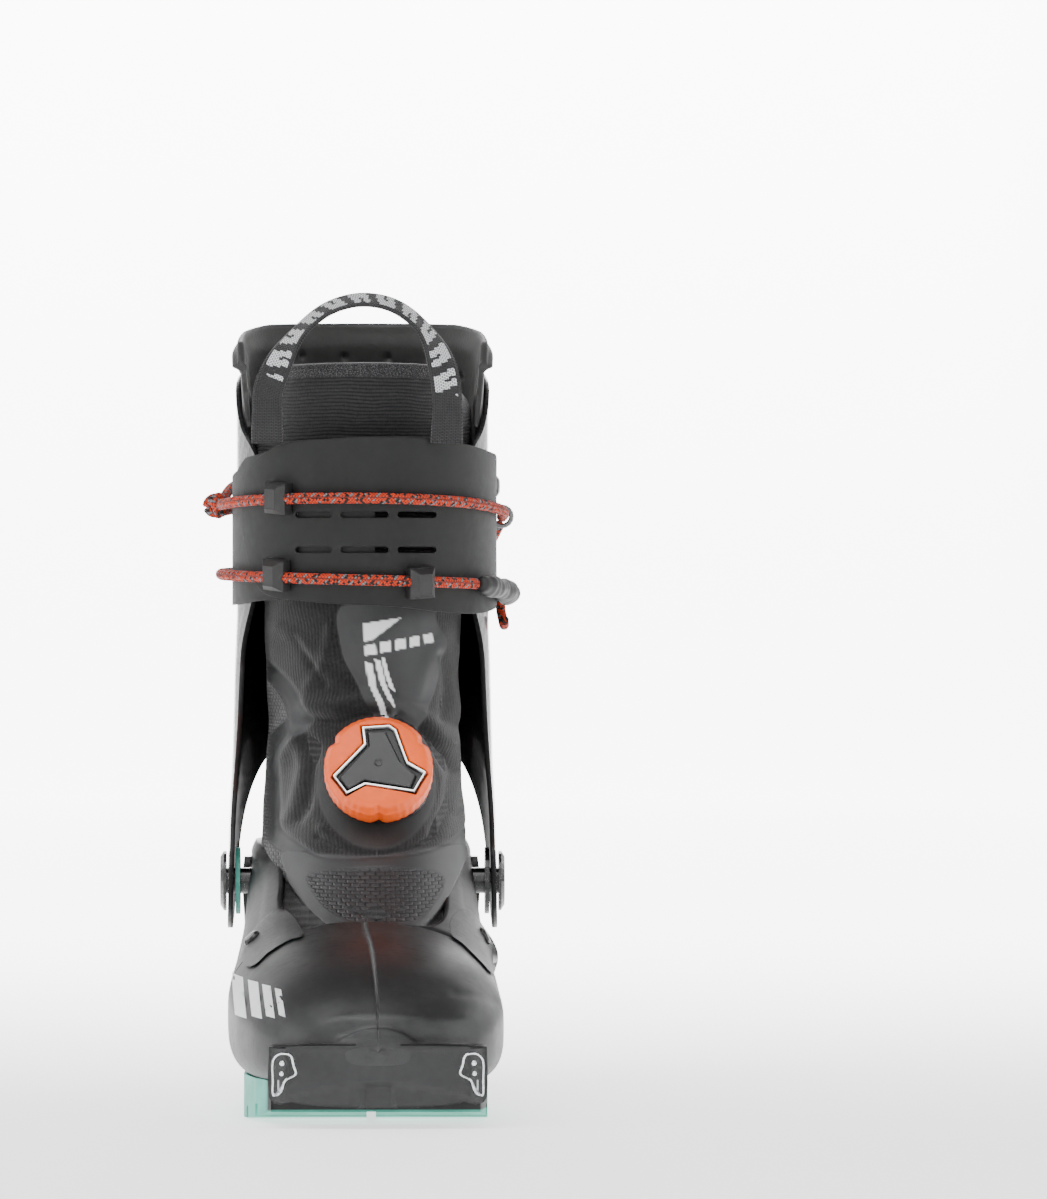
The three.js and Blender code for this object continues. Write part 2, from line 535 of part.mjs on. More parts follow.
const linerFoot = largest(cut(footLinerOuter,
  footSolid(-SHELL_WALL - LINER_GAP - LINER_WALL),
  common(legHollow, swingRod(SWING - LINER_WALL)),
  common(legHollow, box(200, 300, 300, 0, 60 - 150, 150))), LINER_FLATNESS);
add("liner_foot", linerFoot, KNIT);
add("footbed", largest(cut(footSolid(-SHELL_WALL - LINER_WALL - 2 * LINER_GAP), above(25))), KNIT);

const LINER_TOP = 260;
const LINER_SIDE_TOP = 243;
const linerLip = upright(plate(
  [[-60, 300], [-60, LINER_SIDE_TOP - 4], [-40, LINER_SIDE_TOP], [-33, LINER_TOP - 3], [-27, LINER_TOP],
    [27, LINER_TOP], [33, LINER_TOP - 3], [40, LINER_SIDE_TOP], [60, LINER_SIDE_TOP - 4], [60, 300]], 300), 0);
const linerBackTop = box(300, 300, 100, 0, 150 - 10, LINER_SIDE_TOP + 50);
const DIAL_SWEEP = [[-150, 60], [-14, 60], [-14, 163], [-150, 163]]; // where the dial comes as the cuff leans forward
const linerShaft = largest(cut(legSolid(LINER_OUT, 0.1, 1), legSolid(LINER_IN, 0.09, 1.01), swingRod(SWING + GAP),
  sidePlate(DIAL_SWEEP, DIAL_X - DIAL_RADIUS - 8, DIAL_X + DIAL_RADIUS + 8),
  sidePlate([[0, PIVOT_HEIGHT], [150, PIVOT_HEIGHT], [150, PIVOT_HEIGHT + 150 * Math.tan(RIM_SWEEP)]], -90, 90),
  linerLip, linerBackTop));
add("liner_shaft", linerShaft, KNIT);

// Gaiter: fills the opening between the shell's collar and the cuff, over the instep and round the ankle.
const GAITER_TOP_FRONT = 186;
const GAITER_TOP_BACK = 142;
const gaiterSide = sidePlate([[-160, 40], [100, 40], [100, GAITER_TOP_BACK], [20, GAITER_TOP_BACK],
  [-20, GAITER_TOP_FRONT], [-160, GAITER_TOP_FRONT]], -90, 90);
const belowCollar = cut(footSolid(GAP), aboveCollar(GAP));
const gaiter = largest(common(
  cut(legSolid(0, -0.09, 0.62), legSolid(-GAITER_WALL, -0.1, 0.63), belowCollar, footSolid(-SHELL_WALL)), gaiterSide));
add("gaiter", gaiter, GAITER);

// ---------------------------------------------------------------- screws on the shell, and the cuff's pivots
function standOn(point, a, b, da, db) {
  const at = point(a, b);
  const first = point(a + da, b).sub(point(a - da, b));
  const up = point(a, b + db).sub(point(a, b - db)).normalize();
  const out = new THREE.Vector3().crossVectors(first, up).normalize();
  if (out.dot(V(at.x, at.y * 0.2, Math.max(0, at.z - 50))) < 0) out.negate();
  const side = new THREE.Vector3().crossVectors(up, out).normalize();
  return new THREE.Matrix4().makeBasis(side, new THREE.Vector3().crossVectors(out, side), out).setPosition(at);
}
function onFoot(y, z, side) {
  const point = (yy, zz) => {
    const [low, high] = [footBottom(yy), footTop(yy)];
    const widest = lerp(low, high, widestShare(yy));
    const s = Math.min(1, (zz - widest) / (high - widest));
    const c = Math.sqrt(1 - (s ** (1 / DOME)) ** 2) ** 0.95;
    return V(footMiddle(yy) + side * c * footHalf(yy), yy, zz);
  };
  return standOn(point, y, z, 1, 1);
}
const placed = (g, matrix, x = 0, y = 0, z = 0) => g.clone().translate(x, y, z).applyMatrix4(matrix);
const cuffMatrix = (turn, z, offset) => {
  const stand = onCuff(turn, z, offset);
  stand.updateMatrix();
  return stand.matrix;
};
const shellRivet = rivet(3.3, 1.6, 1.4, 0.1).translate(0, 0, GAP + 0.25);
add("shell_screw_lateral", placed(shellRivet, onFoot(alongFoot(-0.53), 60, -1)), GLOSS_BLACK);
add("shell_screw_medial", placed(shellRivet, onFoot(alongFoot(-0.42), 60, 1)), GLOSS_BLACK);

const CAP_RADIUS = 10.8;
const PIN_RADIUS = PIVOT_HOLE - GAP;
const WASHER_IN = ANKLE_HALF + FRAME_THICK + 2 * GAP;
for (const [name, side] of [["lateral", -1], ["medial", 1]]) {
  const face = CUFF_WALL + cuffHalf(PIVOT_HEIGHT) + GAP + 0.2;
  const profile = [[0, ANKLE_HALF - SHELL_WALL + 0.4], [PIN_RADIUS, ANKLE_HALF - SHELL_WALL + 0.4], [PIN_RADIUS, face],
    [CAP_RADIUS, face], [CAP_RADIUS, face + 1], [CAP_RADIUS - 2, face + 2.2], [0, face + 2.2]];
  const cap = new THREE.LatheGeometry(profile.map(([r, x]) => new THREE.Vector2(r, x)), 28);
  cap.rotateZ(-Math.PI / 2);
  if (side < 0) cap.rotateY(Math.PI);
  cap.translate(0, 0, PIVOT_HEIGHT);
  const socket = new THREE.CylinderGeometry(2.6, 2.6, 3, 6).rotateZ(Math.PI / 2).translate(side * (face + 2.4), 0, PIVOT_HEIGHT);
  add(`pivot_cap_${name}`, cut(cap, socket), GLOSS_BLACK);
  const washer = rodX(CAP_RADIUS + 1.2, 1.6, side * (WASHER_IN + 0.8), 0, PIVOT_HEIGHT, 28);
  add(`pivot_washer_${name}`, cut(washer, rodX(PIVOT_HOLE, 300, 0, 0, PIVOT_HEIGHT)), side < 0 ? TEAL : GLOSS_BLACK);
}

// ---------------------------------------------------------------- dial
const DIAL_STAND = 7; // from the gaiter out to the top of the dial's base
const dialAt = V(DIAL_X, legFront(DIAL_Z) - DIAL_STAND, DIAL_Z);
const dialTurn = new THREE.Matrix4().makeRotationX(Math.PI / 2 - rad(DIAL_TILT));
const dialMatrix = new THREE.Matrix4().makeTranslation(dialAt.x, dialAt.y, dialAt.z).multiply(dialTurn);
const lathe = (points, sides = 32) =>
  new THREE.LatheGeometry(points.map(([r, z]) => new THREE.Vector2(r, z)), sides).rotateX(Math.PI / 2);
const SPOOL = 6;
const POP = 4;
const dialBase = cut(placed(rod(DIAL_RADIUS - 1.6, 16, 32).rotateX(Math.PI / 2), dialMatrix, 0, 0, -8),
  placed(rod(SPOOL + GAP, 13, 20).rotateX(Math.PI / 2), dialMatrix, 0, 0, 0), legSolid(2 * GAP, -0.05, 0.5));
add("dial_base", largest(dialBase), GLOSS_BLACK);
const dialCore = lathe([[0, -POP - 0.5], [SPOOL, -POP - 0.5], [SPOOL, GAP], [10, GAP], [10, 2], [4.4, 2], [4.4, 6], [0, 6]]);
add("dial_core", placed(dialCore, dialMatrix), GLOSS_BLACK);

// Three-lobed face: three broad arms with waists between them.
const lobes = (grow) => [...Array(36).keys()].map((i) => {
  const a = (i / 36) * 2 * Math.PI;
  const near = Math.min(...[90, 210, 330].map((d) => Math.abs(Math.atan2(Math.sin(a - rad(d)), Math.cos(a - rad(d))))));
  const r = near < rad(17) ? DIAL_RADIUS * 0.84 : lerp(DIAL_RADIUS * 0.84, DIAL_RADIUS * 0.47, Math.min(1, (near - rad(17)) / rad(30)));
  return [(r + grow) * Math.cos(a), (r + grow) * Math.sin(a)];
});
const gripProfile = [[0, 2.6], [DIAL_RADIUS - 2.2, 2.6], [DIAL_RADIUS - 2.2, 1], [DIAL_RADIUS - 0.6, 1],
  [DIAL_RADIUS, 3], [DIAL_RADIUS - 0.3, DIAL_HEIGHT - 3], [DIAL_RADIUS - 2.6, DIAL_HEIGHT - 0.6], [DIAL_RADIUS - 6, DIAL_HEIGHT], [0, DIAL_HEIGHT]];
const thumbNotch = rod(2.2, 40, 10).rotateX(Math.PI / 2);
const knobGrip = cut(lathe(gripProfile, 32),
  plate(lobes(GAP), 40),
  ...[30, 150, 270].map((d) => moved(thumbNotch, (DIAL_RADIUS + 1.2) * Math.cos(rad(d)), (DIAL_RADIUS + 1.2) * Math.sin(rad(d)), 0)));
add("knob_grip", placed(knobGrip, dialMatrix), ORANGE);
const knobFace = cut(plate(lobes(0), DIAL_HEIGHT - 3.4).translate(0, 0, 2.6),
  moved(rod(4.4 + GAP, 8, 20).rotateX(Math.PI / 2), 0, 0, 2.4));
add("knob_face", placed(knobFace, dialMatrix), GLOSS_BLACK);

// ---------------------------------------------------------------- cuff
const smooth = (points, steps = 40) => {
  const curve = new THREE.CatmullRomCurve3(points.map(([a, b]) => V(a, b, 0)), true, "centripetal");
  return curve.getPoints(steps).slice(0, -1).map((p) => [p.x, p.y]);
};
const TURN_LIMIT = rad(142);
const cuffSheet = (low, high, from, to, nu = 40, nv = 16, bottom = -0.12, top = 1.07) =>
  sheet((u, v, offset) => cuffPoint(lerp(from, to, u), upCuff(lerp(bottom, top, v)), offset), nu, nv, low, high);
const EAR_BOTTOM = 60;
const ARCH_TOP = 131;
const cuffSide = (lift) => smooth([
  [-13, 66], [0, EAR_BOTTOM], [13, 65], [22, 82], [38, 104], [60, 123], [86, ARCH_TOP], [100, 150], [100, 240],
  [80, CUFF_TOP + lift], [45, CUFF_TOP - 2 + lift], [12, CUFF_TOP - 12 + lift], [-16, 240 + lift], [-34, 228], [-42, 205],
  [-42, 180], [-33, 158], [-24, 135], [-19, 100], [-17, 82],
], 70);
const cuffShell = largest(cut(
  common(cuffSheet(0, CUFF_WALL, -TURN_LIMIT, TURN_LIMIT), sidePlate(cuffSide(0), -90, 90)), pivotHoles));
add("cuff", cuffShell, CARBON);

// Soft collar: inside the carbon at the back, standing proud above it.
const collarSide = smooth([
  [90, 225], [90, 262], [76, CUFF_TOP + SPOILER_PROUD], [40, CUFF_TOP + SPOILER_PROUD - 1.5], [4, CUFF_TOP + 1], [-12, 252],
  [-15, 238], [-12, 226], [20, 223],
], 44);
const spoiler = largest(cut(
  common(cuffSheet(-GAP - SPOILER_WALL, CUFF_WALL + 0.4, rad(-112), rad(112), 36, 10, 0.72, 1.075), sidePlate(collarSide, -90, 90)),
  common(cuffSheet(-GAP, CUFF_WALL + 2, rad(-118), rad(118), 36, 10, 0.65, 1.1), sidePlate(cuffSide(GAP + 0.3), -100, 100))));
add("spoiler", spoiler, FOAM);

// The wrap-over front: an under flap fixed at the lateral side, and a slotted front flap over it.
const FLAP_LOW = 175;
const FLAP_HIGH = 234.5;
const UNDER_OFFSET = CUFF_WALL + GAP;
const FRONT_OFFSET = UNDER_OFFSET + FLAP_WALL + GAP;
const FRONT_FACE = FRONT_OFFSET + FLAP_WALL;
const frontCutter = (outline) => upright(plate(smooth(outline, 48), 80), 0).translate(0, -5, 0);
const underFlap = common(cuffSheet(UNDER_OFFSET, UNDER_OFFSET + FLAP_WALL, rad(176), rad(268), 28, 6, 0.49, 0.85),
  upright(plate([[-60, FLAP_LOW + 1], [4, FLAP_LOW + 1], [4, 222], [-20, 225], [-60, 231]], 120), 20));
add("flap_under", underFlap, FLAP);
const slot = (x0, x1, z) => box(x1 - x0, 40, 2.1, (x0 + x1) / 2, -65, z);
const slots = [207.9, 195.5].flatMap((z) => [[-23.7, -11], [-7.7, 9.2], [12.3, 26.1]].map(([a, b]) => slot(a, b, z)));
const frontFlap = cut(
  common(cuffSheet(FRONT_OFFSET, FRONT_FACE, rad(88), rad(252), 44, 8, 0.49, 0.86),
    frontCutter([[-42, FLAP_LOW + 22], [-43, 210], [-40, 225], [-29, 232.5], [-12, FLAP_HIGH], [20, FLAP_HIGH + 0.5], [43, FLAP_HIGH - 3],
      [54, 226], [54, 182], [46, FLAP_LOW - 1], [10, FLAP_LOW + 0.6], [-20, FLAP_LOW + 2.4], [-36, FLAP_LOW + 6]])),
  ...slots);
add("flap_front", frontFlap, FLAP);

// Pull loop: a band of webbing from one side of the liner's front to the other, flat at its feet and arched on top.
const WEB_WIDTH = 13;
const WEB_THICK = 1.6;
const LOOP = { left: -32.5, right: 29, foot: 236, top: 284.5 };
const pullLoop = sheet((u, v, offset) => {
  const a = Math.PI * (1 - u);
  const rise = Math.max(0, Math.sin(a)) ** 0.62;
  const [cx, half] = [(LOOP.left + LOOP.right) / 2, (LOOP.right - LOOP.left) / 2];
  const x = cx + half * power(Math.cos(a), 0.8);
  const z = lerp(LOOP.foot, LOOP.top, rise);
  const twist = rad(90) * Math.min(1, rise * 1.15) ** 1.5; // 0: faces the front, 90 degrees: faces up
  const width = (v - 0.5) * WEB_WIDTH;
  const front = legFront(Math.min(z, 262)) - 1.2;
  const lean = V(Math.cos(a) * 0.9, 0, Math.sin(a) * 0.9 + 0.1).normalize();
  const across = V(Math.sin(a), 0, -Math.cos(a)).cross(lean).normalize(); // straight out of the front
  const flatSide = V(1, 0, 0).multiplyScalar(Math.cos(twist)).addScaledVector(across, -Math.sin(twist));
  const face = V(0, -Math.cos(twist), 0).addScaledVector(lean, Math.sin(twist)).normalize();
  return V(x, front - 1.6 + 6 * rise, z).addScaledVector(flatSide, width).addScaledVector(face, offset);
}, 30, 2, 0, WEB_THICK);
add("pull_loop", pullLoop, KNIT);

// ---------------------------------------------------------------- closure cord and its fittings
const CORD_OFFSET = FRONT_FACE + GAP + CORD_RADIUS + 0.2;
const STUD_SEAT = CUFF_WALL + GAP;
const ringPath = (from, to, heights, offset = CORD_OFFSET, n = 14) =>
  [...Array(n + 1).keys()].map((i) => cuffPoint(rad(lerp(from, to, i / n)), heights(i / n), offset));
const upperPath = ringPath(262, 82, (t) => 212 + 2 * Math.sin(Math.PI * t) - 4 * t ** 3);
const lowerPath = ringPath(309, 130, (t) => 188.2 - 4.6 * t);
add("cord_front_upper", tube(upperPath, CORD_RADIUS), CORD);
add("cord_front_lower", tube(lowerPath, CORD_RADIUS), CORD);
const pullPath = ringPath(128.4, 92, (t) => 183.4 - 3.4 * t, CORD_OFFSET + 1.6, 5);
add("pull_end", tube(pullPath, 3.9, 10), RUBBER);

function cleat(name, x, z, path) {
  const matrix = cuffMatrix(turnAt(x, z, true, FRONT_FACE), z, FRONT_FACE + GAP);
  const wedge = loft([
    [V(-4.8, -5.5, 0), V(4.8, -5.5, 0), V(4.8, 5.5, 0), V(-4.8, 5.5, 0)],
    [V(-4.8, -5.5, 3.6), V(4.8, -5.5, 3.6), V(4.8, 5.5, 3.6), V(-4.8, 5.5, 3.6)],
    [V(-2.4, -3.6, 6.6), V(2.4, -3.6, 6.6), V(2.4, 3.6, 6.6), V(-2.4, 3.6, 6.6)],
  ]);
  add(name, largest(cut(placed(wedge, matrix), tube(path, CORD_RADIUS + GAP))), RUBBER);
}
cleat("cleat_upper", -28.3, 213.9, upperPath);
cleat("cleat_lower_lateral", -28.9, 186.9, lowerPath);
cleat("cleat_lower_medial", 19.5, 184.2, lowerPath);

// A stud: a shank on the carbon with a round head, for a swinging link to turn on.
const STUD = { shank: 2, head: 3.7, gap: 2.4 };
const stud = lathe([[0, 0], [STUD.shank, 0], [STUD.shank, STUD.gap], [STUD.head, STUD.gap], [STUD.head, STUD.gap + 0.8],
  [STUD.head - 1.2, STUD.gap + 1.6], [0, STUD.gap + 1.6]], 14);
const studs = {
  upper_lateral: [turnAt(-19.5, 218, false, STUD_SEAT), 218],
  lower_lateral: [turnAt(-35.5, 196.6, false, STUD_SEAT), 196.6],
  upper_medial: [rad(84), 219],
  lower_medial: [turnAt(41.5, 174, false, STUD_SEAT), 174],
};
for (const [name, [turn, z]] of Object.entries(studs))
  add(`stud_${name}`, placed(stud, cuffMatrix(turn, z, STUD_SEAT)), STEEL);

const LINK_THICK = 1.3;
const teardrop = (headRadius, tailX, tailY, tailRadius) => {
  const shape = [];
  const along = Math.atan2(tailY, tailX);
  for (let i = 0; i <= 12; i++) {
    const a = along + Math.PI / 2 + (i / 12) * Math.PI;
    shape.push([headRadius * Math.cos(a), headRadius * Math.sin(a)]);
  }
  for (let i = 0; i <= 8; i++) {
    const a = along - Math.PI / 2 + (i / 8) * Math.PI;
    shape.push([tailX + tailRadius * Math.cos(a), tailY + tailRadius * Math.sin(a)]);
  }
  return plate(shape, LINK_THICK);
};
const studHole = rod(STUD.shank + GAP, 20, 16).rotateX(Math.PI / 2);
// Ring links: a tab on the stud with an upright eye for the cord, hanging below it.
function ringLink(name, stand, drop) {
  const [turn, z] = studs[stand];
  const eye = new THREE.TorusGeometry(CORD_RADIUS + 1.6, 0.9, 6, 16).rotateY(Math.PI / 2).translate(0, -drop, 4.4);
  const link = cut(join(teardrop(4.4, 0, -drop + 3.2, 2.2), eye), studHole);
  add(name, placed(link, cuffMatrix(turn, z, STUD_SEAT + 0.5)), ALLOY);
}
ringLink("ring_lower_lateral", "lower_lateral", 9.4);
ringLink("ring_upper_medial", "upper_medial", 11);
// The upper lateral link carries a peg that the cord's end loop drops over.
const PEG = { reach: 11.2, radius: 2.1, height: 7 };
const pegLink = cut(join(teardrop(5.2, PEG.reach, -0.6, 3),
  moved(rod(PEG.radius, PEG.height, 12).rotateX(Math.PI / 2), PEG.reach, -0.6, PEG.height / 2 + 0.4),
  moved(rod(3.3, 0.9, 14).rotateX(Math.PI / 2), PEG.reach, -0.6, PEG.height + 0.6)), studHole);
add("link_upper_lateral", placed(pegLink, cuffMatrix(...studs.upper_lateral, STUD_SEAT + 0.5)), ALLOY);

// The loop at the cord's end, over the peg, and the knot that holds it.
const pegTurn = turnAt(-30.4, 217, false, 6);
const loopPoints = [[rad(-82), 214, 7.6], [rad(-64), 219.5, 7.6], [pegTurn - 0.02, 222.4, 7.9], [pegTurn + 0.1, 217.4, 7.9],
  [pegTurn - 0.02, 212, 7.9], [rad(-64), 211, 7.6], [rad(-82), 210, 7.6]].map(([turn, z, offset]) => cuffPoint(turn, z, offset + CORD_RADIUS - 1.9));
const turnOfKnot = new THREE.TorusGeometry(CORD_RADIUS + 1, CORD_RADIUS, 6, 12);
const knot = join(turnOfKnot.clone().scale(1, 1.25, 1), turnOfKnot.clone().rotateY(1.1), turnOfKnot.clone().rotateX(1.3));
add("cord_end_knot", join(placed(knot, cuffMatrix(rad(-85), 212, CORD_OFFSET + 1.3)), tube(loopPoints, CORD_RADIUS, 8, 18)), CORD);

// ---------------------------------------------------------------- rear lever
const onCarbon = cuffSheet(-8, CUFF_WALL + GAP, rad(-40), rad(40), 16, 10, 0.2, 0.75);
const HINGE_Y = LEVER_FACE_Y - 2;
const EYE = 5;
const BOLT = 2;
const CHEEK = { in: 5.1, out: 8 };
const seat = (z) => legBack(z) + CUFF_WALL * 2 + GAP + 1.2;
const bracketBase = upright(plate([[-CHEEK.out, 153], [CHEEK.out, 153], [CHEEK.out, 180], [5.6, 188], [2, 190.5], [-2, 190.5],
  [-5.6, 188], [-CHEEK.out, 180]], 30), 100);
const baseSide = sidePlate([[60, 140], [seat(153) + 3, 140], [seat(153) + 3, 153], [seat(190) + 4.2, 191], [60, 191]], -90, 90);
const cheekSide = [[72, 190], [seat(184) + 4, 184], [HINGE_Y + 1, 171], [HINGE_Y + 4.4, 164], [HINGE_Y + 4.4, 159],
  [HINGE_Y, 155.5], [seat(153) + 2, 153], [70, 153]];
const BRACKET_SCREW = { head: 4, shank: 1.5, thick: 1.6, y: seat(185) + 5.4, z: 185 };
const tongue = sidePlate([[70, 169], [84, 169], [85.5, 173], [83, 178.5], [70, 182]], -3.9, 3.9);
const bracket = cut(join(common(bracketBase, baseSide), sidePlate(cheekSide, CHEEK.in, CHEEK.out),
  sidePlate(cheekSide, -CHEEK.out, -CHEEK.in), tongue), onCarbon, rodX(BOLT + GAP, 60, 0, HINGE_Y, HINGE_Z, 14),
  rodX(EYE + 0.6, 2 * CHEEK.in, 0, HINGE_Y, HINGE_Z, 20),
  rodY(BRACKET_SCREW.shank + GAP, 30, 0, BRACKET_SCREW.y, BRACKET_SCREW.z),
  rodY(BRACKET_SCREW.head + GAP, 10, 0, BRACKET_SCREW.y - BRACKET_SCREW.thick - GAP + 5, BRACKET_SCREW.z, 20));
add("lever_bracket", bracket, ALLOY);
add("bracket_screw", screwY(BRACKET_SCREW.head, BRACKET_SCREW.shank, 2, BRACKET_SCREW.thick, 0, BRACKET_SCREW.y, BRACKET_SCREW.z), STEEL);
add("hinge_bolt", join(rodX(BOLT, 2 * CHEEK.out + 3, 0, HINGE_Y, HINGE_Z, 14),
  ...[-1, 1].map((side) => rodX(3.2, 2.6, side * (CHEEK.out + GAP + 1.3), HINGE_Y, HINGE_Z, 14))), STEEL);

const GUIDE = { z: 125, y: LEVER_FACE_Y - 2.4, out: 7.4 };
const TANG_END = 80;
const leverFlat = upright(plate([[-4.2, 163], [-4.2, 148], [-LEVER_HALF - 0.4, 143], [-LEVER_HALF - 0.4, TANG_END],
  [LEVER_HALF + 0.4, TANG_END], [LEVER_HALF + 0.4, 143], [4.2, 148], [4.2, 163]], LEVER_THICK), LEVER_FACE_Y + LEVER_THICK);
const guideLug = sidePlate([[GUIDE.y - 3.4, 121], [GUIDE.y + 4.4, 118], [GUIDE.y + 4.4, 132], [GUIDE.y - 3.4, 129]], LEVER_HALF, GUIDE.out);
const leverBar = cut(join(leverFlat, rodX(EYE, 8.4, 0, HINGE_Y, HINGE_Z, 24), guideLug, guideLug.clone().translate(-GUIDE.out - LEVER_HALF, 0, 0)),
  rodX(BOLT + GAP, 60, 0, HINGE_Y, HINGE_Z, 14), rodX(CORD_RADIUS + GAP, 60, 0, GUIDE.y, GUIDE.z, 12));
add("lever_bar", leverBar, ALLOY);
const HOOK_HALF = 6.5;
const hookSide = smooth([[LEVER_FACE_Y + 0.1, 87.4], [LEVER_FACE_Y + 0.1, 76.5], [LEVER_FACE_Y + 3, 75.2], [LEVER_FACE_Y + 7, 77],
  [LEVER_FACE_Y + 8.4, 81.5], [LEVER_FACE_Y + 7.2, 86.4], [LEVER_FACE_Y + 3.6, 88.4]], 24);
const TAB = { top: 77, low: 61.5, half: 5.7, ribs: 5 };
const ribbed = [...Array(TAB.ribs).keys()].flatMap((i) => {
  const z = lerp(TAB.low + 1, TAB.top - 3, i / TAB.ribs);
  const step = (TAB.top - 3 - TAB.low - 1) / TAB.ribs;
  return [[LEVER_FACE_Y + 5.2, z], [LEVER_FACE_Y + 5.2, z + step * 0.5], [LEVER_FACE_Y + 4.2, z + step * 0.6], [LEVER_FACE_Y + 4.2, z + step * 0.9]];
});
const hook = cut(join(sidePlate(hookSide, -HOOK_HALF, HOOK_HALF),
  sidePlate([[LEVER_FACE_Y + 0.6, TAB.top], [LEVER_FACE_Y + 1.2, TAB.low], [LEVER_FACE_Y + 4.6, TAB.low], ...ribbed, [LEVER_FACE_Y + 4.2, TAB.top]], -TAB.half, TAB.half)),
  box(2 * LEVER_HALF + 0.8 + 2 * GAP, LEVER_THICK + 2 * GAP, 40, 0, LEVER_FACE_Y + LEVER_THICK / 2, TANG_END - GAP + 20));
add("lever_hook", largest(hook), ALLOY);
const ARM_START = GUIDE.out + 1.6;
add("cord_lever_run", tube([V(-ARM_START, GUIDE.y, GUIDE.z), V(0, GUIDE.y, GUIDE.z), V(ARM_START, GUIDE.y, GUIDE.z)], CORD_RADIUS, 8, 4), CORD);

// Closure cord from the lever up to a ring on each side, lying over the carbon.
function cordArm(side, top) {
  const points = [...Array(9).keys()].map((i) => {
    const t = i / 8;
    const [x, z] = [lerp(ARM_START + 0.9 + 1.6 * (CORD_RADIUS - 1.9), top.x, t), lerp(GUIDE.z + 1.2, top.z, t)];
    const offset = 4.5 + 2.9 * (2 * t - 1) ** 2;
    return cuffPoint(turnAt(side * x, z, false, offset), z, offset);
  });
  return tube(points, CORD_RADIUS, 8, 16);
}
add("cord_arm_medial", cordArm(1, { x: 49.6, z: 205 }), CORD);
add("cord_arm_lateral", cordArm(-1, { x: 38, z: 181 }), CORD);
// The pulled tail of the cord loops back behind the rubber end.
add("cord_tail", tube([[88, 181.5, 7.4], [83, 182, 7.8], [78.5, 176, 7.4], [83, 169, 7.8], [89, 170.5, 7.4]]
  .map(([turn, z, offset]) => cuffPoint(rad(turn), z, offset)), CORD_RADIUS * 0.9), CORD);

const collarRivet = rivet(3.9, 1.5, 1.2, 0.1).translate(0, 0, 0.15);
add("collar_rivet_medial", placed(collarRivet, cuffMatrix(turnAt(39.8, 244.8, false, STUD_SEAT), 244.8, STUD_SEAT)), GLOSS_BLACK);
add("collar_rivet_lateral", placed(collarRivet, cuffMatrix(turnAt(-35.5, 245.6, false, STUD_SEAT), 245.6, STUD_SEAT)), GLOSS_BLACK);

// ---------------------------------------------------------------- origin at the bottom centre
const extent = new THREE.Box3().setFromObject(boot);
const middle = extent.getCenter(V(0, 0, 0));
boot.children.forEach((mesh) => mesh.geometry.translate(-middle.x, -middle.y, -extent.min.z));

export default boot;
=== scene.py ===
"""Looks of the alpine touring boot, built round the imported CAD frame."""
import json
import math
from functools import partialmethod

import bmesh
import bpy
import numpy as np
from mathutils import Matrix, Vector
from mathutils.geometry import delaunay_2d_cdt


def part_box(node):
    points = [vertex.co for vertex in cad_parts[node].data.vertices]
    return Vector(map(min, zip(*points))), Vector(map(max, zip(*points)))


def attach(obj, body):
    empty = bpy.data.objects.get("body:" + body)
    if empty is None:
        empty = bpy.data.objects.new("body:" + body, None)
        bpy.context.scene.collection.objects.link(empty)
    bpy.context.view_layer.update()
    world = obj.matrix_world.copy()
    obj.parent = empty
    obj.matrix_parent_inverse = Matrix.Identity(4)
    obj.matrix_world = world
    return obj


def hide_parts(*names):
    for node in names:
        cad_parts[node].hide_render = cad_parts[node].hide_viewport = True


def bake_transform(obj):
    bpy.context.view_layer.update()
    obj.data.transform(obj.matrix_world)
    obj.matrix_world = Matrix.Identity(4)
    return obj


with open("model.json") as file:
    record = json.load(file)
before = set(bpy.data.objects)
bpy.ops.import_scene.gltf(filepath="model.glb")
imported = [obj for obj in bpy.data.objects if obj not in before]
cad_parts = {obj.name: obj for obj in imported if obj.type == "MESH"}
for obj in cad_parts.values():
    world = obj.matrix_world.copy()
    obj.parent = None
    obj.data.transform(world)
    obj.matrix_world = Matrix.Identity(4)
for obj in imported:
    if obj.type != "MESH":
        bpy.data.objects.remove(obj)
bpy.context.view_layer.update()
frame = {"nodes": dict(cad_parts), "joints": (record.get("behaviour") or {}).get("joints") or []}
JOINTS = {j["name"]: j for j in frame["joints"]}
PIVOT = np.array(JOINTS["cuff_pivot"]["pos_m"])
PIVOT_Z = 77.0

# ------------------------------------------------------- the boot's surfaces, in mm about the ankle axis
TOE, HEEL, TOP = 189.0, 88.0, 268.0


def row(points):
    """Millimetres about the ankle axis to metres in the row frame."""
    return (np.asarray(points, float) - [0, 0, PIVOT_Z]) / 1000 + PIVOT


def through(stations):
    """A smooth curve through (place, value) stations that never overshoots them, flat beyond its ends."""
    xs = np.array([s[0] for s in stations], float)
    ys = np.array([s[1] for s in stations], float)
    d = np.diff(ys) / np.diff(xs)
    m = np.zeros(len(xs))
    both = d[:-1] * d[1:]
    m[1:-1] = np.where(both > 0, 2 * both / np.where(both > 0, d[:-1] + d[1:], 1), 0)

    def f(x):
        x = np.clip(np.asarray(x, float), xs[0], xs[-1])
        i = np.clip(np.searchsorted(xs, x, side="left") - 1, 0, len(xs) - 2)
        w = xs[i + 1] - xs[i]
        t = (x - xs[i]) / w
        t2, t3 = t * t, t ** 3
        return ((2 * t3 - 3 * t2 + 1) * ys[i] + (3 * t2 - 2 * t3) * ys[i + 1]
                + (t3 - 2 * t2 + t) * w * m[i] + (t3 - t2) * w * m[i + 1])
    return f


def foot_table(table, scale=1.0):
    """A curve along the foot: -1 is the tip of the toe, 0 the ankle and 1 the back of the heel."""
    return through([(s * (TOE if s < 0 else HEEL), v * scale) for s, v in table])


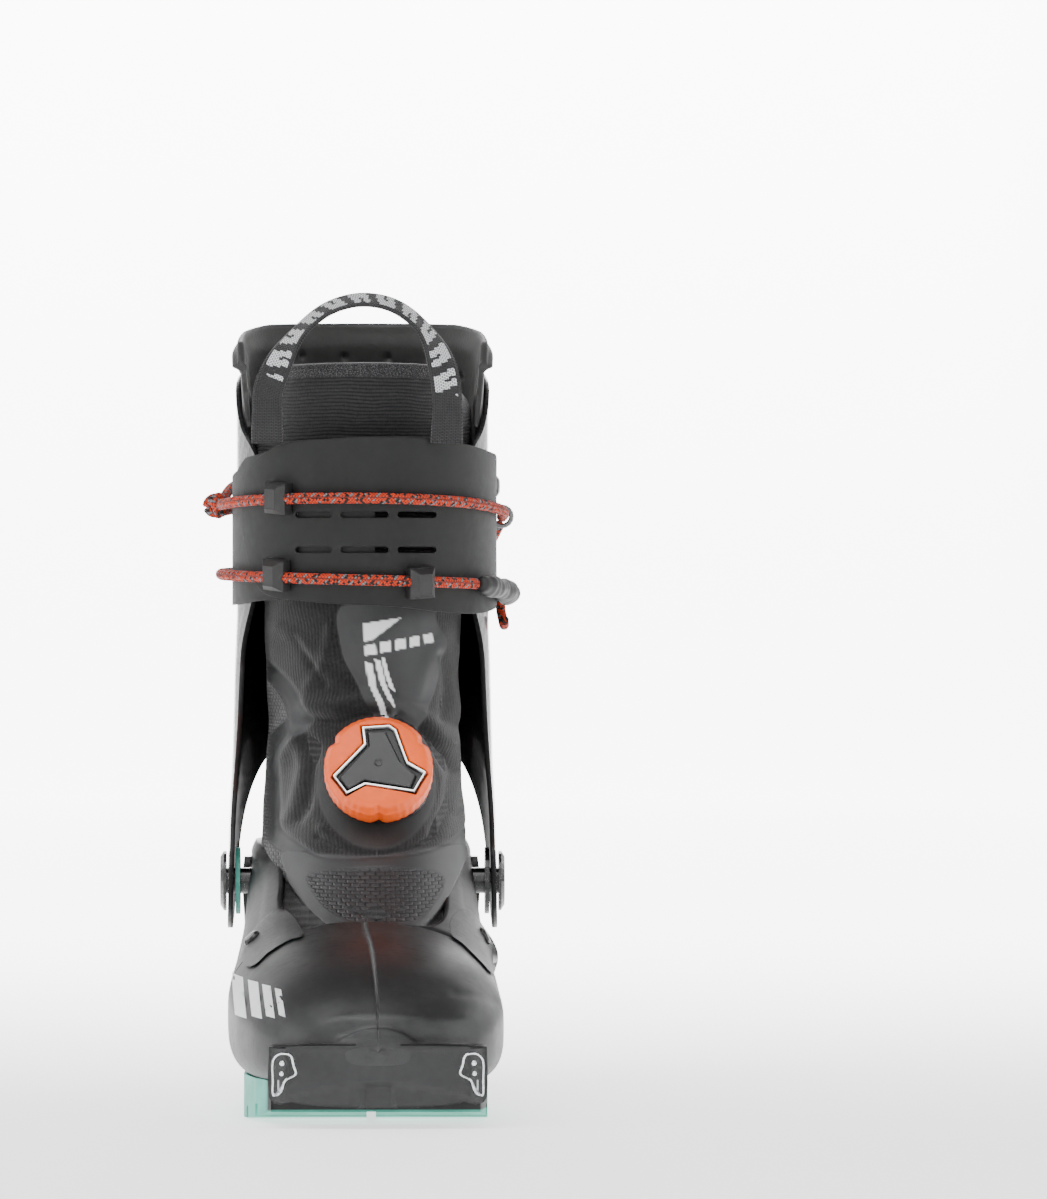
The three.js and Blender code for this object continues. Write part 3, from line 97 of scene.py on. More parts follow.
def leg_table(table):
    """A curve up the leg: 0 is the ankle axis and 1 the top of the cuff."""
    return through([(PIVOT_Z + s * (TOP - PIVOT_Z), v) for s, v in table])


foot_half = foot_table([
    (-0.985, 0.32), (-0.965, 0.52), (-0.92, 0.73), (-0.84, 0.89), (-0.74, 0.975), (-0.62, 1), (-0.45, 0.955),
    (-0.22, 0.885), (0, 0.872), (0.3, 0.86), (0.55, 0.79), (0.75, 0.66), (0.86, 0.51), (0.905, 0.36),
    (0.925, 0.2)], 47)
foot_mid = foot_table([(-1, 5.2), (-0.8, 3.4), (-0.6, 0.5), (-0.2, 0), (0.5, -0.8), (1, -1.9)])
foot_top = foot_table([
    (-0.985, 34), (-0.965, 39), (-0.92, 46), (-0.84, 54.5), (-0.74, 61), (-0.62, 66), (-0.5, 74), (-0.3, 88),
    (-0.1, 100), (0.3, 108), (0.86, 108), (0.925, 98)])
foot_low = foot_table([(-0.985, 18), (-0.94, 13.5), (-0.8, 9.5), (-0.6, 8.5), (-0.3, 12.5), (0, 14.5),
                       (0.3, 14), (0.925, 14)])
floor_power = foot_table([(-0.6, 0.5), (-0.1, 0.7), (0.4, 1)])
side_power = foot_table([(-0.6, 0.75), (-0.1, 0.85), (0.4, 1)])
widest_share = foot_table([(-1, 0.46), (-0.62, 0.5), (-0.36, 0.52), (0, 0.64), (0.4, 0.68)])
collar_line = foot_table([(-0.62, 64.5), (-0.585, 65), (-0.5, 68.5), (-0.42, 73.0), (-0.36, 77),
                          (-0.2, 85.5), (-0.06, 90), (0.25, 91), (0.6, 91), (0.84, 96), (0.93, 99)])
leg_front = leg_table([
    (-0.09, -138), (-0.06, -116), (-0.01, -100), (0.068, -83), (0.147, -70), (0.215, -61), (0.304, -53.5),
    (0.382, -50.5),
    (0.46, -50.5), (0.67, -56), (0.827, -60), (1.09, -65)])
leg_back = leg_table([(-0.09, 72), (0.068, 75.5), (0.28, 75.5), (0.382, 74), (0.518, 70), (0.67, 65),
                      (0.827, 59), (1.09, 49)])
leg_half = leg_table([(-0.09, 39), (0, 38.5), (0.147, 36.5), (0.3, 35), (0.4, 35.5), (0.52, 37),
                      (0.67, 39.8), (1.09, 42)])
leg_mid = leg_table([(-0.09, 0), (0.3, 6), (0.6, 9), (1.09, 4)])
leg_shift = leg_table([(-0.09, 5), (0.2, 4), (0.5, 0.5), (0.7, 0)])
cuff_half = leg_table([(-0.1, 46.6), (0.1, 46.2), (0.25, 45), (0.42, 44.2), (0.52, 43.6), (0.85, 43.6),
                       (1, 44.6), (1.1, 46)])


def power(v, p):
    """v to the power p, with the sign of v kept."""
    return np.sign(v) * np.abs(v) ** p


def foot_point(y, a, grow=0.0):
    """The shell of the foot at y, a radians round from its medial side, grown outward in mm."""
    half = np.maximum(2, foot_half(y) + grow)
    low, high = foot_low(y) - grow, foot_top(y) + grow
    wide = low + (high - low) * widest_share(y)
    up = np.sin(a) >= 0
    z = wide + power(np.sin(a), np.where(up, 0.86, floor_power(y))) * np.where(up, high - wide, wide - low)
    x = foot_mid(y) + power(np.cos(a), np.where(up, 0.95, side_power(y))) * half
    return np.stack(np.broadcast_arrays(x, y, z), -1)


def foot_reach(ys, z, grow=0.0):
    """Half the foot's width at height z for each of ys, with its middle, floor and top there."""
    half, mid = foot_half(ys) + grow, foot_mid(ys)
    low, high = foot_low(ys) - grow, foot_top(ys) + grow
    wide = low + (high - low) * widest_share(ys)
    up = z >= wide
    rise = np.clip(np.abs(z - wide) / np.where(up, high - wide, wide - low), 0, 1)
    s = rise ** (1 / np.where(up, 0.86, floor_power(ys)))
    c = np.sqrt(np.clip(1 - s * s, 0, 1)) ** np.where(up, 0.95, side_power(ys))
    return half * c, mid, low, high


def leg_point(turn, z, offset=0.0, full=0.93):
    """The leg of the liner at height z, turned from the back, moved outward by offset mm."""
    s, c = power(np.sin(turn), full), power(np.cos(turn), full)
    mid = leg_mid(z)
    reach = np.where(c >= 0, leg_back(z) - mid, mid - leg_front(z))
    x = leg_shift(z) * np.maximum(0, -c) + (leg_half(z) + offset) * s
    return np.stack(np.broadcast_arrays(x, mid + (reach + offset) * c, z), -1)


def cuff_point(turn, z, offset=0.0, full=0.9):
    """The inner face of the cuff at height z, turned from the back, moved outward by offset mm."""
    s, c = power(np.sin(turn), full), power(np.cos(turn), full)
    mid = leg_mid(z)
    reach = np.where(c >= 0, leg_back(z) - mid + 3.35, mid - leg_front(z) + 1.2)
    return np.stack(np.broadcast_arrays((cuff_half(z) + offset) * s, mid + (reach + offset) * c, z), -1)


def smooth_step(a, b, x):
    """From 0 where x is a to 1 where x is b, with a soft start and end."""
    t = np.clip((np.asarray(x, float) - a) / (b - a), 0, 1)
    return t * t * (3 - 2 * t)


def spline(points, n, closed=True):
    """Centripetal Catmull-Rom through 2-D points."""
    p = [np.array(q, float) for q in points]
    if closed:
        p = [p[-1]] + p + [p[0], p[1]]
    else:
        p = [2 * p[0] - p[1]] + p + [2 * p[-1] - p[-2]]
    spans = len(p) - 3
    out = []
    for k in range(n if closed else n + 1):
        t = k * spans / n
        i = min(int(t), spans - 1)
        f = t - i
        p0, p1, p2, p3 = p[i:i + 4]
        t0 = 0.0
        t1 = t0 + max(1e-6, np.linalg.norm(p1 - p0)) ** 0.5
        t2 = t1 + max(1e-6, np.linalg.norm(p2 - p1)) ** 0.5
        t3 = t2 + max(1e-6, np.linalg.norm(p3 - p2)) ** 0.5
        s = t1 + f * (t2 - t1)
        a1 = (t1 - s) / (t1 - t0) * p0 + (s - t0) / (t1 - t0) * p1
        a2 = (t2 - s) / (t2 - t1) * p1 + (s - t1) / (t2 - t1) * p2
        a3 = (t3 - s) / (t3 - t2) * p2 + (s - t2) / (t3 - t2) * p3
        b1 = (t2 - s) / (t2 - t0) * a1 + (s - t0) / (t2 - t0) * a2
        b2 = (t3 - s) / (t3 - t1) * a2 + (s - t1) / (t3 - t1) * a3
        out.append((t2 - s) / (t2 - t1) * b1 + (s - t1) / (t2 - t1) * b2)
    return np.array(out)


# ------------------------------------------------------------------ mesh helpers
def add_mesh(name, points, faces, material=None, uv=None, masks=None, smooth=True):
    """A mesh object from mm points, with a float attribute on its points for each mask."""
    mesh = bpy.data.meshes.new(name)
    mesh.from_pydata([tuple(p) for p in row(points)], [], [tuple(int(i) for i in f) for f in faces])
    mesh.validate()
    if smooth:
        mesh.polygons.foreach_set("use_smooth", [True] * len(mesh.polygons))
    if uv is not None:
        layer = mesh.uv_layers.new(name="UVMap")
        loops = np.zeros(len(mesh.loops), np.int32)
        mesh.loops.foreach_get("vertex_index", loops)
        layer.data.foreach_set("uv", np.asarray(uv, np.float32)[loops].ravel())
    for key, values in (masks or {}).items():
        attribute = mesh.attributes.new(key, "FLOAT", "POINT")
        attribute.data.foreach_set("value", np.asarray(values, np.float32))
    o = bpy.data.objects.new(name, mesh)
    bpy.context.scene.collection.objects.link(o)
    if material:
        mesh.materials.append(material)
    return o


def grid_faces(nu, nv, wrap_v=False, start=0):
    """Faces of a grid of nu rows by nv columns of points."""
    faces = []
    for i in range(nu - 1):
        for j in range(nv if wrap_v else nv - 1):
            k = (j + 1) % nv
            faces.append((start + i * nv + j, start + (i + 1) * nv + j, start + (i + 1) * nv + k, start
                          + i * nv + k))
    return faces


def grid(name, points, material=None, wrap=False, **extra):
    """A mesh over an array of rows by columns of mm points."""
    nu, nv = points.shape[:2]
    return add_mesh(name, points.reshape(-1, 3), grid_faces(nu, nv, wrap), material, **extra)


def grid_normals(points, wrap=False):
    """Unit normals of an array of rows by columns of points."""
    du = np.gradient(points, axis=0)
    if wrap:
        dv = np.roll(points, -1, 1) - np.roll(points, 1, 1)
    else:
        dv = np.gradient(points, axis=1)
    n = np.cross(du, dv)
    return n / np.maximum(1e-9, np.linalg.norm(n, axis=-1, keepdims=True))


def trimmed(name, surface, outline, spacing, material=None, holes=(), masks=None, back=None, bevel=0.0):
    """A patch of surface(u, v) in mm inside a closed outline. back(u, v) is its other face, if it has one."""
    outline = np.asarray(outline, float)
    verts = [Vector(p) for p in outline]
    loops = [list(range(len(outline)))]
    for hole in holes:
        loops.append(list(range(len(verts), len(verts) + len(hole))))
        verts += [Vector(p) for p in hole]
    lo, hi = outline.min(0), outline.max(0)
    us = np.arange(lo[0] + spacing[0] / 2, hi[0], spacing[0])
    vs = np.arange(lo[1] + spacing[1] / 2, hi[1], spacing[1])
    grid_u, grid_v = np.meshgrid(us, vs)
    cand = np.stack([grid_u.ravel(), grid_v.ravel()], -1)
    keep = inside(cand, outline) & (edge_distance(cand, outline, spacing) > 0.45)
    for hole in holes:
        keep &= ~inside(cand, np.asarray(hole)) & (edge_distance(cand, np.asarray(hole), spacing) > 0.45)
    verts += [Vector(p) for p in cand[keep]]
    edges = [(a, b) for loop in loops for a, b in zip(loop, loop[1:] + loop[:1])]
    stretch = np.array([spacing[1] / spacing[0], 1.0])
    verts = [Vector((v[0] * stretch[0], v[1])) for v in verts]
    v2, _, faces, _, _, _ = delaunay_2d_cdt(verts, edges, [], 0, 1e-6)
    v2 = np.array([tuple(v) for v in v2]) / stretch
    centres = np.array([v2[list(f)].mean(0) for f in faces])
    ok = inside(centres, outline)
    for hole in holes:
        ok &= ~inside(centres, np.asarray(hole))
    faces = [f for f, k in zip(faces, ok) if k]
    points = surface(v2[:, 0], v2[:, 1])
    values = {k: f(v2, points) for k, f in (masks or {}).items()}
    if back:
        n = len(v2)
        points = np.vstack([points, back(v2[:, 0], v2[:, 1])])
        count = {}
        for f in faces:
            for a, b in zip(f, f[1:] + f[:1]):
                count[(a, b)] = True
        rim = [(a, b) for a, b in count if (b, a) not in count]
        faces = (faces + [tuple(i + n for i in f[::-1]) for f in faces]
                 + [(b, a, a + n, b + n) for a, b in rim])
        v2 = np.vstack([v2, v2])
        values = {k: np.concatenate([v, v]) for k, v in values.items()}
        values["inner"] = np.repeat([0.0, 1.0], n)
    o = add_mesh(name, points, faces, material, uv=v2, masks=values)
    if bevel:
        modifier(o, "BEVEL", width=bevel / 1000, segments=3, limit_method="ANGLE",
                 angle_limit=math.radians(50))
    if back:
        modifier(o, "WEIGHTED_NORMAL", keep_sharp=True)
    return o


def inside(points, polygon):
    """Whether each 2-D point is inside the polygon."""
    x, y = points[:, 0], points[:, 1]
    result = np.zeros(len(points), bool)
    a, b = polygon, np.roll(polygon, -1, 0)
    for (x0, y0), (x1, y1) in zip(a, b):
        if y0 == y1:
            continue
        cross = (y0 > y) != (y1 > y)
        result ^= cross & (x < (x1 - x0) * (y - y0) / (y1 - y0) + x0)
    return result


def edge_distance(points, polygon, spacing):
    """Distance to the polygon's line, in units of the spacing."""
    scale = np.array(spacing)
    p = points / scale
    a = np.asarray(polygon) / scale
    best = np.full(len(p), 1e9)
    for s, e in zip(a, np.roll(a, -1, 0)):
        d = e - s
        t = np.clip(((p - s) @ d) / max(1e-12, d @ d), 0, 1)
        best = np.minimum(best, np.linalg.norm(p - s - t[:, None] * d, axis=1))
    return best


def signed_distance(x, z, polygon):
    """Distance in mm to a polygon in (x, z), positive inside."""
    p = np.stack([np.ravel(x), np.ravel(z)], -1)
    d = edge_distance(p, polygon, (1, 1))
    return np.where(inside(p, np.asarray(polygon, float)), d, -d).reshape(np.shape(x))


def modifier(o, kind, **settings):
    m = o.modifiers.new(kind.lower(), kind)
    for key, value in settings.items():
        setattr(m, key, value)
    return m


def tube(name, path, radius, material=None, sides=20, step=0.6, caps=True, pitch=8.0, wobble=None):
    """A round tube along a path of mm points, with UVs of (turn, length in mm)."""
    p = np.asarray(path, float)
    fine = []
    ext = np.vstack([2 * p[0] - p[1], p, 2 * p[-1] - p[-2]])
    for i in range(len(p) - 1):
        p0, p1, p2, p3 = ext[i:i + 4]
        n = max(2, int(np.linalg.norm(p2 - p1) / step))
        for k in range(n):
            t = k / n
            fine.append(0.5 * (2 * p1 + (p2 - p0) * t + (2 * p0 - 5 * p1 + 4 * p2 - p3) * t ** 2
                               + (3 * p1 - p0 - 3 * p2 + p3) * t ** 3))
    fine.append(p[-1])
    fine = np.array(fine)
    tangent = np.gradient(fine, axis=0)
    tangent /= np.linalg.norm(tangent, axis=1, keepdims=True)
    length = np.concatenate([[0], np.cumsum(np.linalg.norm(np.diff(fine, axis=0), axis=1))])
    side = np.cross(tangent[0], [0, 0, 1.0])
    if np.linalg.norm(side) < 0.1:
        side = np.cross(tangent[0], [1.0, 0, 0])
    sides_list = []
    for t in tangent:
        side = side - t * (side @ t)
        side = side / np.linalg.norm(side)
        sides_list.append(side.copy())
    s = np.array(sides_list)
    b = np.cross(tangent, s)
    turn = np.linspace(0, 2 * math.pi, sides, endpoint=False)
    r = (np.full((len(fine), sides), float(radius)) if np.isscalar(radius)
         else np.interp(length / length[-1], radius[0], radius[1])[:, None] * np.ones(sides))
    if wobble:
        r = r * (1 + wobble(length[:, None], turn[None, :]))
    ring = (fine[:, None] + r[..., None] * (np.cos(turn)[None, :, None] * s[:, None]
                                            + np.sin(turn)[None, :, None] * b[:, None]))
    points = ring.reshape(-1, 3)
    faces = grid_faces(len(fine), sides, True)
    uv = np.stack([np.tile(turn / (2 * math.pi), len(fine)), np.repeat(length, sides)], -1)
    if caps:
        for end, order in ((0, 1), (len(fine) - 1, -1)):
            faces.append(tuple((range(end * sides, end * sides + sides))[::order]))
    return add_mesh(name, points, faces, material, uv=uv)


# ------------------------------------------------------------------ materials
class Look:
    """A small shader builder: sockets or plain numbers go in, sockets come out."""

    def __init__(self, name):
        self.material = bpy.data.materials.new(name)
        self.material.use_nodes = True
        self.tree = self.material.node_tree
        self.tree.nodes.clear()
        self.out = self.tree.nodes.new("ShaderNodeOutputMaterial")
        self.bsdf = self.tree.nodes.new("ShaderNodeBsdfPrincipled")
        self.tree.links.new(self.bsdf.outputs[0], self.out.inputs[0])

    def put(self, socket, value):
        if isinstance(value, bpy.types.NodeSocket):
            self.tree.links.new(value, socket)
        elif socket.type == "RGBA" and isinstance(value, (tuple, list)):
            socket.default_value = (*value, 1)
        elif socket.type == "RGBA":
            socket.default_value = (value, value, value, 1)
        else:
            socket.default_value = value

    def node(self, kind, out=0, settings=None, **inputs):
        n = self.tree.nodes.new("ShaderNode" + kind)
        for key, value in (settings or {}).items():
            setattr(n, key, value)
        for key, value in inputs.items():
            self.put(n.inputs[int(key[1:]) if key[0] == "i" and key[1:].isdigit()
                              else key.replace("_", " ")], value)
        return n.outputs[out]

    def math(self, op, a, b=0.0, c=0.0):
        return self.node("Math", settings={"operation": op}, i0=a, i1=b, i2=c)

    # math with its operation filled in
    add, minus = partialmethod(math, "ADD"), partialmethod(math, "SUBTRACT")
    times, over = partialmethod(math, "MULTIPLY"), partialmethod(math, "DIVIDE")
    floor, modulo = partialmethod(math, "FLOOR"), partialmethod(math, "FLOORED_MODULO")
    size, larger = partialmethod(math, "ABSOLUTE"), partialmethod(math, "MAXIMUM")
    below, above = partialmethod(math, "LESS_THAN"), partialmethod(math, "GREATER_THAN")
    sine = partialmethod(math, "SINE")

    def ramp(self, x, a, b, low=0.0, high=1.0):
        """Smoothly from low (x at a) to high (x at b)."""
        n = self.tree.nodes.new("ShaderNodeMapRange")
        n.interpolation_type = "SMOOTHSTEP"
        for key, value in zip(("Value", "From Min", "From Max", "To Min", "To Max"), (x, a, b, low, high)):
            self.put(n.inputs[key], value)
        return n.outputs[0]

    def mix(self, fac, a, b):
        n = self.tree.nodes.new("ShaderNodeMix")
        n.data_type = "RGBA"
        self.put(n.inputs[0], fac)
        self.put(n.inputs[6], a)
        self.put(n.inputs[7], b)
        return n.outputs[2]

    def place(self, kind="Object"):
        """Coordinates in mm: where the point is on the object, or its UV."""
        coords = self.node("TexCoord", out={"Object": 3, "UV": 2}[kind])
        if kind == "UV":
            return coords
        return self.node("VectorMath", settings={"operation": "SCALE"}, i0=coords, Scale=1000.0)

    def axes(self, vector):
        n = self.tree.nodes.new("ShaderNodeSeparateXYZ")
        self.put(n.inputs[0], vector)
        return n.outputs

    def scaled(self, vector, x, y, z):
        return self.node("VectorMath", settings={"operation": "MULTIPLY"}, i0=vector, i1=(x, y, z))

    def noise(self, vector, scale, detail=3.0, roughness=0.5, distortion=0.0):
        return self.node("TexNoise", Vector=vector, Scale=scale, Detail=detail, Roughness=roughness,
                         Distortion=distortion)

    def mask(self, name):
        return self.node("Attribute", out=2, settings={"attribute_name": name})

    def bump(self, height, depth_mm, normal=None):
        n = self.tree.nodes.new("ShaderNodeBump")
        n.inputs["Strength"].default_value = 1.0
        n.inputs["Distance"].default_value = depth_mm / 1000
        self.put(n.inputs["Height"], height)
        if normal is not None:
            self.put(n.inputs["Normal"], normal)
        return n.outputs[0]

    def done(self, **inputs):
        for key, value in inputs.items():
            self.put(self.bsdf.inputs[key.replace("_", " ")], value)
        return self.material


BLACKER = 0.36  # how much darker the dark plastics are than their slot colours


def moulded(name, colour, rough, grain=0.06, mottle=0.25, spec=0.5, coat=0.0, grain_scale=2.2, scratch=0.0,
            sheen=0.0, patch=0.045):
    """Moulded plastic or rubber: fine grain, slight mottling and uneven gloss."""
    m = Look(name)
    if max(colour) < 0.1:
        colour = [c * BLACKER for c in colour]
    p = m.place()
    big = m.noise(p, patch, 4, 0.6)
    mid = m.noise(p, patch * 7, 3, 0.6)
    cloud = m.add(m.times(big, 0.65), m.times(mid, 0.35))
    tone = m.ramp(cloud, 0.32, 0.68)
    dark, light = [c * (1 - mottle) for c in colour], [c * (1 + mottle) for c in colour]
    normal = m.bump(m.noise(p, grain_scale, 2, 0.6), grain)
    roughness = m.add(rough - 0.06, m.times(mid, 0.14))
    if scratch:
        lines = m.noise(m.scaled(p, 0.25, 3.0, 0.6), 0.6, 2, 0.5, 0.6)
        roughness = m.add(roughness, m.ramp(lines, 0.62, 0.7, 0.0, scratch))
    return m.done(Base_Color=m.mix(tone, dark, light), Roughness=roughness, Normal=normal,
                  Specular_IOR_Level=spec,
                  Coat_Weight=coat, Coat_Roughness=0.08, Sheen_Weight=sheen)


def metal(name, colour, rough, brushed=0.12, direction=(0.15, 3.0, 3.0)):
    """Metal with fine brushed lines and faint smudges."""
    m = Look(name)
    p = m.place()
    lines = m.noise(m.scaled(p, *direction), 1.6, 3, 0.6)
    smudge = m.noise(p, 0.12, 3, 0.6)
    return m.done(Base_Color=m.mix(m.ramp(smudge, 0.3, 0.7), [c * 0.85 for c in colour], colour),
                  Metallic=1.0,
                  Roughness=m.add(rough, m.times(m.add(m.times(lines, 0.6), smudge), brushed)),
                  Normal=m.bump(lines, 0.012))


def ribbed(name, colour, pitch, depth, rough=0.85, sheen=0.25, tilt=(0, 0, 1), fuzz=0.12):
    """Knit with fine ribs across one direction."""
    m = Look(name)
    p = m.place()
    x, y, z = m.axes(p)
    along = m.add(m.add(m.times(x, tilt[0]), m.times(y, tilt[1])), m.times(z, tilt[2]))
    wander = m.times(m.noise(p, 0.08, 2), 1.6)
    rib = m.sine(m.times(m.add(along, wander), 2 * math.pi / pitch))
    thread = m.noise(m.scaled(p, 2.2, 2.2, 0.9), 1.0, 2)
    height = m.add(m.times(rib, 0.5), thread)
    fluff = m.noise(p, 0.5, 4, 0.7)
    # the colour darkens in the rib troughs as painted shade; the fluff noise adds random tone
    colour_out = m.mix(m.ramp(m.add(m.times(rib, 0.25), fluff), 0.3, 0.85), [c * 0.55 for c in colour],
                       [c * 1.5 for c in colour])
    return m.done(Base_Color=colour_out, Roughness=rough, Normal=m.bump(fluff, fuzz, m.bump(height, depth)),
                  Sheen_Weight=sheen, Sheen_Roughness=0.4, Specular_IOR_Level=0.25)


def cell(m, u, v, pitch_u, pitch_v):
    """Rounded bars in a staggered grid, from 0 between them to 1 on them."""
    row_index = m.floor(m.over(v, pitch_v))
    shift = m.times(m.modulo(row_index, 2.0), pitch_u / 2)
    du = m.size(m.minus(m.modulo(m.over(m.add(u, shift), pitch_u), 1.0), 0.5))
    dv = m.size(m.minus(m.modulo(m.over(v, pitch_v), 1.0), 0.5))
    return m.times(m.ramp(du, 0.5, 0.3), m.ramp(dv, 0.5, 0.25))


def sole_look():
    """Teal rubber at the sole's sides, back and lowest edge, and dark rubber behind the toe block."""
    m = Look("sole_rubber")
    p = m.place()
    x, y, z = m.axes(p)
    teal = m.larger(m.ramp(z, 5.2, 4.4), m.larger(m.ramp(m.size(m.minus(x, 5.4)), 37.0, 38.0),
                                                  m.ramp(y, -98.0, -92.0)))
    tone = m.ramp(m.noise(p, 0.08, 3, 0.6), 0.35, 0.65)
    return m.done(Base_Color=m.mix(teal, m.mix(tone, (0.004, 0.004, 0.0042), (0.008, 0.008, 0.0085)),
                                   m.mix(tone, (0.05, 0.36, 0.27), (0.075, 0.45, 0.35))), Roughness=0.5,
                  Normal=m.bump(m.noise(p, 2.4, 2, 0.6), 0.06))


SHELL = moulded("shell_black", (0.034, 0.035, 0.037), 0.4, 0.05, 0.34, spec=0.55, scratch=0.12)
BLOCK = moulded("block_black", (0.028, 0.029, 0.031), 0.42, 0.05, 0.3)
GLOSS = moulded("gloss_black", (0.012, 0.012, 0.013), 0.27, 0.012, 0.3, coat=0.25)
FOAM = moulded("collar_foam", (0.042, 0.042, 0.041), 0.50, 0.12, 0.18, spec=0.45, grain_scale=1.2, sheen=0.1)
FLAP = moulded("flap_sheet", (0.018, 0.0185, 0.019), 0.56, 0.05, 0.14, spec=0.3)
RUBBER = moulded("rubber_grey", (0.038, 0.038, 0.039), 0.6, 0.1, 0.2)
CLEAT = moulded("cleat_rubber", (0.030, 0.030, 0.031), 0.5, 0.06, 0.2)
SOLE = sole_look()
TEAL = moulded("teal_rubber", (0.09, 0.47, 0.38), 0.5, 0.06, 0.08)
TEAL_PRINT = moulded("teal_print", (0.13, 0.50, 0.42), 0.32, 0.01, 0.05, coat=0.3)
ORANGE_PRINT = moulded("orange_print", (0.82, 0.16, 0.004), 0.32, 0.01, 0.05, coat=0.3)
WHITE_PRINT = moulded("white_print", (0.75, 0.76, 0.78), 0.45, 0.02, 0.06)
ORANGE = moulded("orange_grip", (0.86, 0.10, 0.001), 0.46, 0.03, 0.08)
STEEL = metal("steel", (0.74, 0.78, 0.80), 0.16)
CHROME = metal("bright_line", (0.85, 0.86, 0.87), 0.12, 0.05)
ALLOY = metal("grey_alloy", (0.10, 0.10, 0.112), 0.36, 0.2, (3.0, 3.0, 0.15))
DARK_STEEL = metal("dark_steel", (0.16, 0.165, 0.17), 0.26, 0.15)
LINING = ribbed("liner_inside", (0.018, 0.018, 0.019), 2.2, 0.15, 0.95)


def twill_look():
    """Clear-coated carbon in 2x2 twill: bundles lie alternately up and across in stepping rows."""
    m = Look("carbon_twill")
    uv = m.place("UV")
    u, v, _ = m.axes(uv)
    wide = 2.15
    cu, cv = m.over(u, wide), m.over(v, wide)
    i, j = m.floor(cu), m.floor(cv)
    step = m.modulo(m.add(i, j), 4.0)
    up = m.below(step, 2.0)
    fu = m.minus(m.modulo(cu, 1.0), 0.5)
    fv = m.minus(m.modulo(cv, 1.0), 0.5)
    # each bundle is round across its width and dives under at its ends
    across_up = m.ramp(m.size(fu), 0.5, 0.1)
    across_side = m.ramp(m.size(fv), 0.5, 0.1)
    first = m.below(m.modulo(step, 2.0), 1.0)
    end_v = m.ramp(m.add(m.times(fv, m.minus(m.times(first, 2.0), 1.0)), 0.0), -0.5, 0.1)
    end_u = m.ramp(m.add(m.times(fu, m.minus(m.times(first, 2.0), 1.0)), 0.0), -0.5, 0.1)
    rise = m.mix(up, m.times(across_side, end_u), m.times(across_up, end_v))
    fibre_u = m.noise(m.scaled(uv, 9, 0.5, 1), 1.0, 2, 0.6)
    fibre_v = m.noise(m.scaled(uv, 0.5, 9, 1), 1.0, 2, 0.6)
    fibre = m.mix(up, fibre_v, fibre_u)
    tow = m.node("TexWhiteNoise", Vector=m.node("CombineXYZ", i0=m.mix(up, j, i), i1=up, i2=0.0))
    light = m.times(m.add(0.55, m.times(tow, 0.35)), m.add(0.55, m.times(fibre, 0.8)))
    # painted highlight: each bundle is lighter on its crown and darker where it dives under
    bright = m.times(light, m.ramp(rise, 0.05, 0.75))
    edge = m.mask("edge")
    # painted sheen: bundles lying across are painted much lighter than those lying up, standing in for the
    # way carbon fibre catches light along its length; the tow and fibre noise is random tone
    body = m.mix(up, m.mix(bright, (0.002, 0.002, 0.0022), (0.007, 0.0072, 0.0078)),
                 m.mix(bright, (0.002, 0.002, 0.0022), (0.045, 0.047, 0.05)))
    colour = m.mix(m.larger(edge, m.mask("inner")), body, (0.004, 0.004, 0.005))
    normal = m.bump(m.add(rise, m.times(fibre, 0.2)), 0.05)
    resin = m.noise(m.scaled(uv, 0.05, 0.05, 1), 1.0, 3)
    coat_normal = m.bump(resin, 0.35)
    return m.done(Base_Color=colour, Roughness=m.larger(m.mix(up, 0.42, 0.32),
                                                        m.times(m.mask("inner"), 0.95)), Normal=normal,
                  Specular_IOR_Level=m.minus(0.6, m.times(m.mask("inner"), 0.57)),
                  Coat_Weight=m.minus(0.8, m.times(m.mask("inner"), 0.75)), Coat_Roughness=0.07,
                  Coat_Normal=coat_normal)


CARBON = twill_look()


def cord_look():
    """Braided sheath: orange yarns with grey and black flecks, in crossing helices."""
    m = Look("braid")
    u, v, _ = m.axes(m.place("UV"))
    turns, pitch = 8.0, 9.0
    a = m.add(m.times(u, turns), m.over(v, pitch / turns))
    b = m.minus(m.times(u, turns), m.over(v, pitch / turns))
    ia, ib = m.floor(a), m.floor(b)
    over = m.below(m.modulo(m.add(ia, ib), 2.0), 1.0)
    fa = m.size(m.minus(m.modulo(a, 1.0), 0.5))
    fb = m.size(m.minus(m.modulo(b, 1.0), 0.5))
    height = m.mix(over, m.ramp(fb, 0.5, 0.1), m.ramp(fa, 0.5, 0.1))
    carrier = m.mix(over, m.add(ib, 31.0), ia)
    wrapped = m.modulo(carrier, 8.0)
    grey = m.add(m.below(m.size(m.minus(wrapped, 2.0)), 0.5), m.below(m.size(m.minus(wrapped, 6.0)), 0.5))
    pick = m.node("TexWhiteNoise", Vector=m.node("CombineXYZ", i0=ia, i1=ib, i2=3.0))
    fleck = m.above(m.add(m.times(grey, 0.6), pick), 1.02)
    dark = m.below(pick, 0.22)
    yarn = m.mix(dark, m.mix(fleck, (0.66, 0.04, 0.003), (0.2, 0.2, 0.21)), (0.012, 0.012, 0.013))
    # painted shade: the colour goes dark where the yarns dive under each other, in the crevices between them
    colour = m.mix(m.ramp(height, 0.0, 0.6), (0.05, 0.015, 0.012), yarn)
    return m.done(Base_Color=colour, Roughness=0.75, Normal=m.bump(height, 0.35), Sheen_Weight=0.03,
                  Specular_IOR_Level=0.3)


BRAID = cord_look()


